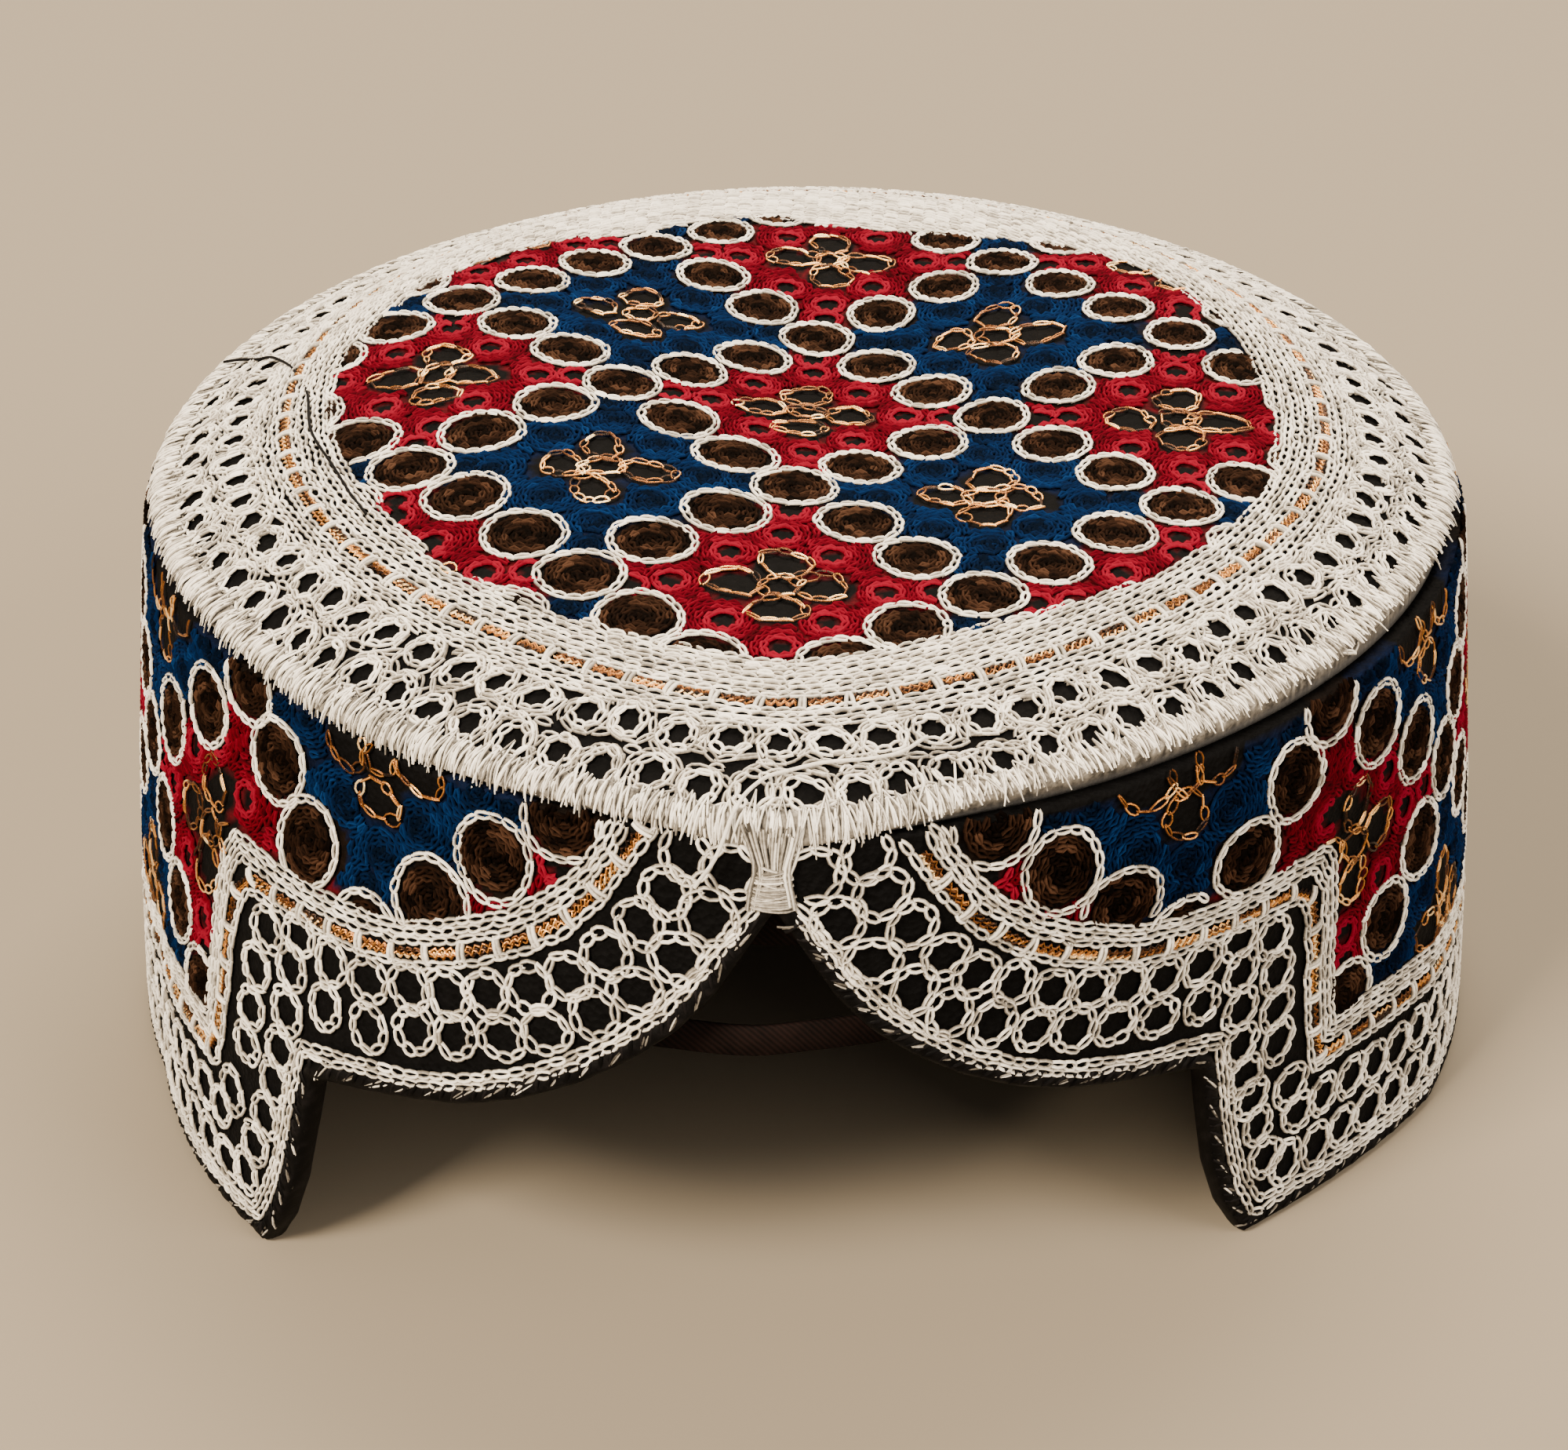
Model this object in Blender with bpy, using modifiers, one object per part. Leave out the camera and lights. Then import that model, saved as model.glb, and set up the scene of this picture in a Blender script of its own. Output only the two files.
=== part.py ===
"""Sindhi cap: a stiff embroidered cap with a low padded crown and a cusped arch cut from its front.

The front faces -Y, +Z is up and the base ring stands on z = 0. Lengths are in metres.
"""
import math

import bmesh
import bpy
import numpy as np

COLLECTION = "sindhi_cap"

# Plan at the seam: a superellipse whose front comes to a soft point
HALF_WIDTH = 0.0845
FRONT_LENGTH = 0.0946
BACK_LENGTH = 0.0932
FRONT_POWER = 1.64
BACK_POWER = 2.01

# Side of the cap, from the base ring up to the seam
SEAM_HEIGHT = 0.0727
BASE_FLARE = 1.055
SIDE_BULGE = 0.009
SWAY = 0.0053            # the cloth leans out on the left of the arch and in on the right
SWAY_SPAN = 0.104        # how far round from the front the lean reaches
SWAY_TOP = 0.062         # height at which the lean has died away

# Layers, as insets from the outside of the binding
BAND_INSET = 0.0005
BAND_THICKNESS = 0.0026
BINDING_THICKNESS = 0.0031
BINDING_HEIGHT = 0.0030
BINDING_CHAMFER = 0.0005
LINING_INSET = 0.0036
LINING_THICKNESS = 0.0010
TAPE_INSET = 0.0050
CLEARANCE = 0.0003
TAPE_THICKNESS = 0.0011
TAPE_BOTTOM = 0.0428
TAPE_HEIGHT = 0.0036
WEB_BOTTOM = 0.0575      # the lining shows as a small web behind the arch's point
WEB_REACH = 0.009

# Overcast roll over the seam
ROLL_RADIUS = 0.0019
ROLL_INSET = 0.0019

# Crown
CROWN_THICKNESS = 0.0028
CROWN_LINING_START = 0.0062
CENTRE_RISE = 0.0096
FRONT_FALL = 0.0016
PLATEAU_RINGS = 4

COLUMN_STEP = 0.0092
BAND_ROWS = 5

# Half of the cut edge: way along the seam from the front centre, and height of the edge
ARCH = (
    (0.0000, 0.0635),
    (0.0020, 0.0604),
    (0.0040, 0.0572),
    (0.0070, 0.0523),
    (0.0110, 0.0476),
    (0.0160, 0.0434),
    (0.0220, 0.0393),
    (0.0290, 0.0356),
    (0.0360, 0.0329),
    (0.0430, 0.0312),
    (0.0500, 0.0296),
    (0.0550, 0.0284),
    (0.0573, 0.0276),
    (0.0584, 0.0210),
    (0.0602, 0.0120),
    (0.0628, 0.0050),
    (0.0660, 0.0000),
)

# Columns near the arch, beside the ones the cut edge needs
EXTRA_COLUMNS = (0.0592, 0.0608, 0.0618, 0.0644, 0.0676, 0.0694, 0.0725, 0.0770)

# Sloping rim of the crown: inset from the outside, rise above the seam
RIM = (
    (0.0036, 0.0016),
    (0.0070, 0.0039),
    (0.0110, 0.0057),
    (0.0150, 0.0069),
    (0.0182, 0.0076),
)

# Uneven padding of the crown: soft swells and hollows, by plan position and rise
SWELLS = (
    (-0.050, 0.000, 0.0013),
    (-0.050, 0.025, 0.0024),
    (-0.025, -0.050, 0.0008),
    (-0.025, -0.025, 0.0020),
    (-0.025, 0.000, 0.0018),
    (-0.025, 0.025, 0.0006),
    (-0.025, 0.050, 0.0019),
    (0.000, -0.050, -0.0004),
    (0.000, -0.025, -0.0009),
    (0.000, 0.000, -0.0013),
    (0.000, 0.025, -0.0023),
    (0.000, 0.050, 0.0009),
    (0.025, -0.050, 0.0009),
    (0.025, -0.025, 0.0003),
    (0.025, 0.025, 0.0005),
    (0.025, 0.050, 0.0013),
    (0.050, 0.025, 0.0022),
)
SWELL_SPAN = 0.021
SWELL_START = 0.012      # inset from the outside at which they begin
SWELL_FULL = 0.024

# Material: base colour, roughness
FINISHES = {
    "side_wall": ((0.42, 0.36, 0.35), 0.85),
    "base_binding": ((0.035, 0.033, 0.035), 0.80),
    "arch_binding": ((0.035, 0.033, 0.035), 0.80),
    "seam_roll": ((0.78, 0.76, 0.72), 0.85),
    "crown": ((0.50, 0.42, 0.40), 0.85),
    "side_lining": ((0.050, 0.036, 0.030), 0.90),
    "crown_lining": ((0.050, 0.036, 0.030), 0.90),
    "head_tape": ((0.060, 0.042, 0.034), 0.90),
}


def plan_table():
    """Arc length from the front centre, position and outward normal, once round the seam."""
    turn = np.linspace(-1.5 * math.pi, 0.5 * math.pi, 2881)
    cos, sin = np.cos(turn), np.sin(turn)
    power = np.where(sin < 0, FRONT_POWER, BACK_POWER)
    x = HALF_WIDTH * np.sign(cos) * np.abs(cos) ** (2 / power)
    y = np.where(sin < 0, FRONT_LENGTH, BACK_LENGTH) * sin
    step = np.hypot(np.diff(x), np.diff(y))
    arc = np.concatenate([[0.0], np.cumsum(step)])
    arc -= arc[len(arc) // 2]
    tangent_x, tangent_y = np.gradient(x, arc), np.gradient(y, arc)
    length = np.hypot(tangent_x, tangent_y)
    return arc, x, y, tangent_y / length, -tangent_x / length


ARC, PLAN_X, PLAN_Y, NORMAL_X, NORMAL_Y = plan_table()
HALF_ROUND = float(ARC[-1])


def plan_at(along):
    return [float(np.interp(along, ARC, column)) for column in (PLAN_X, PLAN_Y, NORMAL_X, NORMAL_Y)]


def sway_at(along, height):
    """How far the cloth leans outwards here."""
    if abs(along) > SWAY_SPAN or height > SWAY_TOP:
        return 0.0
    fade = 1 - (height / SWAY_TOP) ** 2
    return -SWAY * math.sin(math.pi * along / SWAY_SPAN) * fade


def side_point(along, height, inset):
    """A point on the side of the cap, at a way round from the front centre."""
    x, y, normal_x, normal_y = plan_at(along)
    # the lowest few millimetres stand upright, so the base ring has a level foot
    shaped = max(height, BINDING_HEIGHT + CLEARANCE)
    part = shaped / SEAM_HEIGHT
    scale = BASE_FLARE + (1 - BASE_FLARE) * part + SIDE_BULGE * 4 * part * (1 - part)
    out = sway_at(along, shaped) - inset
    return (x * scale + normal_x * out, y * scale + normal_y * out, height)


def edge_height(along):
    """Height of the cut edge, or of the base ring past the ears."""
    ways = [way for way, _ in ARCH]
    heights = [height for _, height in ARCH]
    return float(np.interp(abs(along), ways, heights, right=0.0))


EDGE_WAYS = np.linspace(-0.08, 0.08, 1281)
EDGE_HEIGHTS = np.array([edge_height(way) for way in EDGE_WAYS])


def raised_edge(along, reach):
    """The cut edge moved into the cloth by a fixed distance."""
    if abs(along) > 0.076:
        return reach
    near = np.abs(EDGE_WAYS - along) < reach
    lift = np.sqrt(reach ** 2 - (EDGE_WAYS[near] - along) ** 2)
    return float((EDGE_HEIGHTS[near] + lift).max())


def mirrored(ways):
    return sorted({round(sign * way, 6) for way in ways for sign in (-1, 1)})


def band_columns():
    """Ways round for the upright divisions: close at the arch, wide at the back."""
    near = [way for way, _ in ARCH] + list(EXTRA_COLUMNS)
    count = math.ceil((HALF_ROUND - max(near)) / COLUMN_STEP)
    far = [max(near) + (HALF_ROUND - max(near)) * (i + 1) / count for i in range(count - 1)]
    return mirrored(near + far) + [HALF_ROUND]


def even_columns():
    count = 2 * math.ceil(HALF_ROUND / COLUMN_STEP)
    return [-HALF_ROUND + 2 * HALF_ROUND * (i + 1) / count for i in range(count)]


def grid_mesh(name, rows, closed=True):
    """An open surface through rows of points that run the same way round."""
    points = [point for row in rows for point in row]
    wide = len(rows[0])
    faces = []
    for j in range(len(rows) - 1):
        for i in range(wide if closed else wide - 1):
            right = (i + 1) % wide
            faces.append((j * wide + i, j * wide + right, (j + 1) * wide + right, (j + 1) * wide + i))
    mesh = bpy.data.meshes.new(name)
    mesh.from_pydata(points, [], faces)
    mesh.update()
    return mesh


def finish_material(name):
    colour, roughness = FINISHES[name]
    material = bpy.data.materials.new(name)
    material.use_nodes = True
    shader = material.node_tree.nodes["Principled BSDF"]
    shader.inputs["Base Color"].default_value = (*colour, 1.0)
    shader.inputs["Roughness"].default_value = roughness
    return material


def add_piece(name, mesh, collection):
    piece = bpy.data.objects.new(name, mesh)
    collection.objects.link(piece)
    mesh.materials.clear()
    mesh.materials.append(finish_material(name))
    return piece


def thicken(piece, thickness, chamfer=0.0):
    """Gives an open surface its thickness on the inner side and stands its foot level."""
    solidify = piece.modifiers.new("thickness", "SOLIDIFY")
    solidify.thickness = thickness
    solidify.offset = -1
    solidify.use_even_offset = True
    if chamfer:
        bevel = piece.modifiers.new("chamfer", "BEVEL")
        bevel.width = chamfer
        bevel.segments = 1
        bevel.limit_method = "ANGLE"
        bevel.angle_limit = math.radians(60)
    graph = bpy.context.evaluated_depsgraph_get()
    solid = bpy.data.meshes.new_from_object(piece.evaluated_get(graph))
    piece.modifiers.clear()
    piece.data = solid
    for vertex in solid.vertices:
        if abs(vertex.co.z) < 0.0002:
            vertex.co.z = 0.0
    solid.update()


def shade(piece, angle=40):
    """Smooth over the round, crisp at the cut edges."""
    mesh = piece.data
    form = bmesh.new()
    form.from_mesh(mesh)
    bmesh.ops.recalc_face_normals(form, faces=form.faces)
    for face in form.faces:
        face.smooth = True
    for edge in form.edges:
        edge.smooth = edge.calc_face_angle(0.0) < math.radians(angle)
    form.to_mesh(mesh)
    form.free()


def side_rows(columns, low, high, inset, count):
    """Rows of points from a lower to an upper height, each given for a way round."""
    rows = []
    for j in range(count + 1):
        share = j / count
        rows.append([side_point(way, low(way) * (1 - share) + high(way) * share, inset) for way in columns])
    return rows


def build_side_wall(collection):
    def low(way):
        return raised_edge(way, BINDING_HEIGHT + CLEARANCE)

    def high(_way):
        return SEAM_HEIGHT - ROLL_RADIUS - CLEARANCE

    rows = side_rows(band_columns(), low, high, BAND_INSET, BAND_ROWS)
    piece = add_piece("side_wall", grid_mesh("side_wall", rows), collection)
    thicken(piece, BAND_THICKNESS)
    shade(piece)


def build_binding(name, columns, collection):
    """Bound edge between two ways round, from the cut edge up into the cloth."""
    rows = side_rows(columns, edge_height, lambda way: raised_edge(way, BINDING_HEIGHT), 0.0, 1)
    piece = add_piece(name, grid_mesh(name, rows, closed=False), collection)
    thicken(piece, BINDING_THICKNESS, BINDING_CHAMFER)
    shade(piece)


def build_bindings(collection):
    columns = band_columns()
    split = 0.0725
    arch = [way for way in columns if abs(way) < split - 0.001]
    arch = [-split + CLEARANCE / 2] + arch + [split - CLEARANCE / 2]
    right = [way for way in columns if way > split + 0.001]
    left = [way + 2 * HALF_ROUND for way in columns if way < -split - 0.001]
    base = [split + CLEARANCE / 2] + right + left + [2 * HALF_ROUND - split - CLEARANCE / 2]
    build_binding("arch_binding", arch, collection)
    # ways past the back centre are counted on from the left side
    wrapped = [way if way <= HALF_ROUND else way - 2 * HALF_ROUND for way in base]
    build_binding("base_binding", wrapped, collection)


def build_side_lining(collection):
    def low(way):
        edge = raised_edge(way, BINDING_HEIGHT + 2 * CLEARANCE)
        return min(edge, WEB_BOTTOM) if abs(way) < WEB_REACH else edge

    def high(_way):
        return SEAM_HEIGHT - ROLL_RADIUS - 2 * CLEARANCE

    rows = side_rows(band_columns(), low, high, LINING_INSET, BAND_ROWS)
    piece = add_piece("side_lining", grid_mesh("side_lining", rows), collection)
    thicken(piece, LINING_THICKNESS)
    shade(piece)


def build_head_tape(collection):
    def low(_way):
        return TAPE_BOTTOM

    def high(_way):
        return TAPE_BOTTOM + TAPE_HEIGHT

    rows = side_rows(band_columns(), low, high, TAPE_INSET, 1)
    piece = add_piece("head_tape", grid_mesh("head_tape", rows), collection)
    thicken(piece, TAPE_THICKNESS)
    shade(piece)


def build_seam_roll(collection):
    curve = bpy.data.curves.new("seam_roll", "CURVE")
    curve.dimensions = "3D"
    curve.twist_mode = "Z_UP"
    curve.bevel_depth = ROLL_RADIUS
    curve.bevel_resolution = 2
    path = curve.splines.new("POLY")
    columns = even_columns()
    path.points.add(len(columns) - 1)
    path.use_cyclic_u = True
    for point, way in zip(path.points, columns):
        point.co = (*side_point(way, SEAM_HEIGHT, ROLL_INSET), 1.0)
    source = bpy.data.objects.new("seam_roll_path", curve)
    collection.objects.link(source)
    graph = bpy.context.evaluated_depsgraph_get()
    mesh = bpy.data.meshes.new_from_object(source.evaluated_get(graph))
    bpy.data.objects.remove(source)
    piece = add_piece("seam_roll", mesh, collection)
    shade(piece, 60)


def swell_at(x, y, inset):
    """How far the padding stands above or below the even crown here."""
    part = min(1.0, max(0.0, (inset - SWELL_START) / (SWELL_FULL - SWELL_START)))
    rise = sum(up * math.exp(-((x - at_x) ** 2 + (y - at_y) ** 2) / (2 * SWELL_SPAN ** 2))
               for at_x, at_y, up in SWELLS)
    return rise * part * part * (3 - 2 * part)


def crown_rows(columns):
    """Rings of the crown's upper face, from its edge to the centre, and the centre point."""
    edge_rise, gold_rise = RIM[0][1], RIM[-1][1]

    def lowered(point, rise, inset):
        x, y, _ = point
        ahead = max(0.0, -y / FRONT_LENGTH)
        inside = min(1.0, (rise - edge_rise) / (gold_rise - edge_rise))
        return (x, y, SEAM_HEIGHT + rise - FRONT_FALL * ahead ** 2 * inside + swell_at(x, y, inset))

    rows = []
    for inset, rise in RIM:
        rows.append([lowered(side_point(way, SEAM_HEIGHT, inset), rise, inset) for way in columns])
    outer = [side_point(way, SEAM_HEIGHT, RIM[-1][0]) for way in columns]
    for j in range(1, PLATEAU_RINGS + 1):
        share = 1 - j / (PLATEAU_RINGS + 1)
        rise = CENTRE_RISE - (CENTRE_RISE - RIM[-1][1]) * share ** 2
        rows.append([lowered((x * share, y * share, z), rise, SWELL_FULL) for x, y, z in outer])
    return rows, (0.0, 0.0, SEAM_HEIGHT + CENTRE_RISE + swell_at(0.0, 0.0, SWELL_FULL))


def capped_grid(name, rows, centre):
    mesh = grid_mesh(name, rows)
    form = bmesh.new()
    form.from_mesh(mesh)
    form.verts.ensure_lookup_table()
    wide = len(rows[0])
    last = form.verts[-wide:]
    middle = form.verts.new(centre)
    for i in range(wide):
        form.faces.new((last[i], last[(i + 1) % wide], middle))
    form.to_mesh(mesh)
    form.free()
    return mesh


def build_crown(collection):
    rows, centre = crown_rows(even_columns())
    piece = add_piece("crown", capped_grid("crown", rows, centre), collection)
    thicken(piece, CROWN_THICKNESS)
    shade(piece)


def build_crown_lining(collection):
    """The crown's upper face moved down through the padding, less its edge."""
    rows, centre = crown_rows(even_columns())
    start = sum(1 for inset, _ in RIM if inset < CROWN_LINING_START)
    mesh = capped_grid("crown_lining", rows[start:], centre)
    form = bmesh.new()
    form.from_mesh(mesh)
    form.normal_update()
    for vertex, normal in [(v, v.normal.copy()) for v in form.verts]:
        vertex.co -= normal * (CROWN_THICKNESS + CLEARANCE)
    form.to_mesh(mesh)
    form.free()
    piece = add_piece("crown_lining", mesh, collection)
    thicken(piece, LINING_THICKNESS)
    shade(piece)


def centre_on_base(collection):
    """Moves the whole cap so that the middle of its plan lies on the origin."""
    points = np.array([vertex.co[:] for piece in collection.objects for vertex in piece.data.vertices])
    low, high = points.min(axis=0), points.max(axis=0)
    middle = (low + high) / 2
    for piece in collection.objects:
        for vertex in piece.data.vertices:
            vertex.co.x -= middle[0]
            vertex.co.y -= middle[1]
        piece.data.update()


def main():
    for thing in list(bpy.data.objects):
        bpy.data.objects.remove(thing)
    collection = bpy.data.collections.new(COLLECTION)
    bpy.context.scene.collection.children.link(collection)
    build_side_wall(collection)
    build_bindings(collection)
    build_seam_roll(collection)
    build_crown(collection)
    build_side_lining(collection)
    build_crown_lining(collection)
    build_head_tape(collection)
    centre_on_base(collection)


main()
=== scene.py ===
"""Looks of the sindhi cap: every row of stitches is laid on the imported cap's own surface.

Lengths are in millimetres until a mesh is made. "s" is the way along the seam from the front centre,
positive to the right as seen from the front, and "z" is the height above the base ring.
"""

import math

import bpy
import numpy as np
from mathutils import Matrix, Vector


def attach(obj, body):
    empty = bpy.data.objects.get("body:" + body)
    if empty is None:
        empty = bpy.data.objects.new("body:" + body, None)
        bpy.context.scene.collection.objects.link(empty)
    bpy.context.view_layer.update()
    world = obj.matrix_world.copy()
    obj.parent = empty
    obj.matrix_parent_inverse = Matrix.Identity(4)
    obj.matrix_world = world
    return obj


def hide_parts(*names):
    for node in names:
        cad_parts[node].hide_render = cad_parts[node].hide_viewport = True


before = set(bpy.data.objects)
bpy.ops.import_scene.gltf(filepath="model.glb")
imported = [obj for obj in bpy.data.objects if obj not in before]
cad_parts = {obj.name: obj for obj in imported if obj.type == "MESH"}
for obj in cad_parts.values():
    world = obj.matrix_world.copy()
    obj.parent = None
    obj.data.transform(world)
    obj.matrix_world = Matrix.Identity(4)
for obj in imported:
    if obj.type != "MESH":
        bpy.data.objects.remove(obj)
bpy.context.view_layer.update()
RNG = np.random.default_rng(11)

# Form of the cap, as in the CAD. RIM is inset and rise over the seam, and SWELLS are place and height
HALF_WIDTH, FRONT_LENGTH, BACK_LENGTH = 84.5, 94.6, 93.2
FRONT_POWER, BACK_POWER = 1.64, 2.01
SEAM, FOOT, FLARE, BULGE = 72.7, 3.3, 1.055, 0.009
SWAY, SWAY_SPAN, SWAY_TOP = 5.3, 104.0, 62.0
BAND_INSET, SHIFT_Y = 0.5, -1.03
RIM = ((0.0, -1.0), (1.9, 0.6), (3.6, 1.6), (7.0, 3.9), (11.0, 5.7), (15.0, 6.9), (18.2, 7.6))
GOLD_INSET, CENTRE_RISE = 18.2, 9.6
FRONT_FALL, FALL_START, FALL_SPAN = 1.6, 1.6, 6.0
SWELLS = ((-50, 0, 1.3), (-50, 25, 2.4), (-25, -50, 0.8), (-25, -25, 2.0), (-25, 0, 1.8), (-25, 25, 0.6),
          (-25, 50, 1.9), (0, -50, -0.4), (0, -25, -0.9), (0, 0, -1.3), (0, 25, -2.3), (0, 50, 0.9),
          (25, -50, 0.9), (25, -25, 0.3), (25, 25, 0.5), (25, 50, 1.3), (50, 25, 2.2))
SWELL_SPAN, SWELL_START, SWELL_FULL = 21.0, 12.0, 24.0
# Lower edge of the band: way along the seam and height
ARCH = ((0.0, 63.5), (2.0, 60.4), (4.0, 57.2), (7.0, 52.3), (11.0, 47.6), (16.0, 43.4), (22.0, 39.3),
        (29.0, 35.6), (36.0, 32.9), (43.0, 31.2), (50.0, 29.6), (55.0, 28.4), (57.3, 27.6), (58.4, 21.0),
        (60.2, 12.0), (62.8, 5.0), (66.0, 0.0))

# Steps of the making
PROBE = 0.12                     # step that finds a surface's normal
GRID_HALF = 100                  # the crown's grid reaches this far from its middle, a millimetre a step
CHAIN_STEP = 1.9                 # length of a link in a row of chain stitch
SWIRL_REACH, SWIRL_PITCH, SWIRL_STEP = 13.0, 1.02, 1.45
SPIRAL_PITCH, SPIRAL_STEP = 0.98, 1.4
TIE = 1.35                       # half the length of a white tie over the gold row
TACK_LEFT = 0.4                  # how far the bar tack sits to the left
CLOTH_TOP, CLOTH_SINK, LINING_TOP = 71.6, 0.05, 70.4
CROWN_ROWS = (14.7, 15.85, 16.95, *np.arange(19.4, 36.5, 1.13))    # insets of the crown's white rows
RIM_FILLERS = (14.3, 13.2, 10.0, 8.8, 7.6, 4.0)                    # insets of the loose rows among the eyelets
BORDER_ROWS, BORDER_GOLD = (2.45, 3.6, 17.85, 20.85, 21.95, 23.0), 19.15    # ways in from the hem
EYE_GROUND = 1.8                 # radius of the black ground that shows in an eyelet


def unit(v):
    return v / np.maximum(np.linalg.norm(v, axis=-1, keepdims=True), 1e-9)


def travelled(path):
    """The way along a path up to each of its points."""
    return np.concatenate([[0.0], np.cumsum(np.linalg.norm(np.diff(path, axis=0), axis=1))])


def at_ways(path, way, at):
    """Places on a path, given the way up to each of its points."""
    return np.stack([np.interp(at, way, column) for column in path.T], -1)


def evened(path, count):
    """The same path with its points at even steps."""
    way = travelled(path)
    return at_ways(path, way, np.linspace(0, way[-1], count))


def between(a, b, shares):
    """Points at shares of the way from each a to its b."""
    shares = shares if np.ndim(a) == 1 else shares[:, None]
    return a[:, None] + (b - a)[:, None] * shares


def smooth(t):
    t = np.clip(t, 0, 1)
    return t * t * (3 - 2 * t)


def plan_table():
    """The seam's plan, from the back round the left, the front and the right: way, place and outward normal."""
    turn = np.linspace(-1.5 * math.pi, 0.5 * math.pi, 2881)
    cos, sin = np.cos(turn), np.sin(turn)
    power = np.where(sin < 0, FRONT_POWER, BACK_POWER)
    x = HALF_WIDTH * np.sign(cos) * np.abs(cos) ** (2 / power)
    y = np.where(sin < 0, FRONT_LENGTH, BACK_LENGTH) * sin
    arc = travelled(np.stack([x, y], -1))
    arc -= arc[len(arc) // 2]
    dx, dy = np.gradient(x, arc), np.gradient(y, arc)
    size = np.hypot(dx, dy)
    return arc, x, y, dy / size, -dx / size


ARC, PLAN_X, PLAN_Y, NORMAL_X, NORMAL_Y = plan_table()
HALF_ROUND = float(ARC[-1])


def plan(s):
    s = (np.asarray(s, float) + HALF_ROUND) % (2 * HALF_ROUND) - HALF_ROUND
    return s, [np.interp(s, ARC, column) for column in (PLAN_X, PLAN_Y, NORMAL_X, NORMAL_Y)]


def inset_plan(s, inset):
    """Places on the cap's plan at an inset from the seam."""
    _, (x, y, nx, ny) = plan(s)
    return np.stack([x - nx * inset, y - ny * inset], -1)


def round_steps(count):
    """Ways round the whole cap at even steps."""
    return np.linspace(-HALF_ROUND, HALF_ROUND, count + 1)[:-1]


def front_fall(y, rise):
    """How much lower the crown lies towards the front, once it has risen past the seam."""
    share = np.clip((rise - FALL_START) / FALL_SPAN, 0, 1)
    return FRONT_FALL * np.clip(-y / FRONT_LENGTH, 0, 1) ** 2 * share


def side_points(s, z, inset):
    """Points on the side of the cap, or above the seam at an inset from it."""
    s, (x, y, nx, ny) = plan(s)
    z = np.asarray(z, float) + 0 * s
    part = np.clip(z, FOOT, SEAM) / SEAM
    scale = FLARE + (1 - FLARE) * part + BULGE * 4 * part * (1 - part)
    low = np.clip(z, FOOT, SWAY_TOP)
    sway = -SWAY * np.sin(math.pi * s / SWAY_SPAN) * (1 - (low / SWAY_TOP) ** 2)
    out = np.where(np.abs(s) < SWAY_SPAN, sway, 0) - inset
    return np.stack([x * scale + nx * out, y * scale + ny * out + SHIFT_Y, z - front_fall(y, z - SEAM)], -1)


def with_normals(points_at, a, b):
    """A surface's points and outward normals from small steps along its two ways."""
    along = points_at(a + PROBE, b) - points_at(a - PROBE, b)
    across = points_at(a, b + PROBE) - points_at(a, b - PROBE)
    return points_at(a, b), unit(np.cross(along, across))


def wall(s, z):
    return with_normals(lambda a, b: side_points(a, b, BAND_INSET), s, z)


# The seam's section, from the crown's rim over the seam and down on to the band: inset, height
SECTION = np.array([(9.0, 77.6), (7.0, 76.7), (5.2, 75.9), (3.8, 75.3), (2.6, 74.9), (1.6, 74.4), (0.8, 73.7),
                    (0.25, 72.8), (0.0, 71.8), (0.05, 70.6), (0.25, 69.4), (0.45, 67.8), (0.5, 66.0),
                    (0.5, 55.0)])
SECTION_WAY = travelled(SECTION)


def seam_skin(s, t):
    """Points and outward normals on the seam's skin, at a way t down its section."""
    def at(a, b):
        skin = at_ways(SECTION, SECTION_WAY, b)
        return side_points(a, skin[..., 1], skin[..., 0])
    here, normal = with_normals(at, s, t)
    return here, -normal


def crown_grids():
    """Inset from the seam and height of the crown, over a square grid of its plan."""
    side = np.arange(-GRID_HALF, GRID_HALF + 1.0)
    gx, gy = np.meshgrid(side, side, indexing="ij")
    ring = np.stack([PLAN_X[::3], PLAN_Y[::3]], -1)
    inset = np.empty(gx.shape)
    for i in range(len(side)):
        inset[i] = np.hypot(gx[i][:, None] - ring[None, :, 0], gy[i][:, None] - ring[None, :, 1]).min(1)
    angle, radius = np.arctan2(gy, gx), np.hypot(gx, gy)
    inset = np.where(radius > np.interp(angle, *angle_table(0.0)), -inset, inset)
    share = np.minimum(radius / np.interp(angle, *angle_table(GOLD_INSET)), 1.0)
    rim = np.interp(inset, *np.array(RIM).T)
    rise = np.where(inset < GOLD_INSET, rim, CENTRE_RISE - (CENTRE_RISE - RIM[-1][1]) * share ** 2)
    swell = sum(up * np.exp(-((gx - x) ** 2 + (gy - y) ** 2) / (2 * SWELL_SPAN ** 2)) for x, y, up in SWELLS)
    swell *= smooth((inset - SWELL_START) / (SWELL_FULL - SWELL_START))
    height = SEAM + rise - front_fall(gy, rise) + swell
    for _ in range(2):
        padded = np.pad(height, 1, mode="edge")
        near = padded[2:, 1:-1] + padded[:-2, 1:-1] + padded[1:-1, 2:] + padded[1:-1, :-2]
        height = (near + 4 * height) / 8
    return inset, height


def angle_table(inset):
    """The plan's radius by direction from the middle, at an inset from the seam."""
    x, y = PLAN_X - NORMAL_X * inset, PLAN_Y - NORMAL_Y * inset
    angle = np.arctan2(y, x)
    order = np.argsort(angle)
    angle, radius = angle[order], np.hypot(x, y)[order]
    full = 2 * math.pi
    return (np.concatenate([angle[-1:] - full, angle, angle[:1] + full]),
            np.concatenate([radius[-1:], radius, radius[:1]]))


INSET, HEIGHT = crown_grids()
SLOPE_X, SLOPE_Y = np.gradient(HEIGHT)


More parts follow.
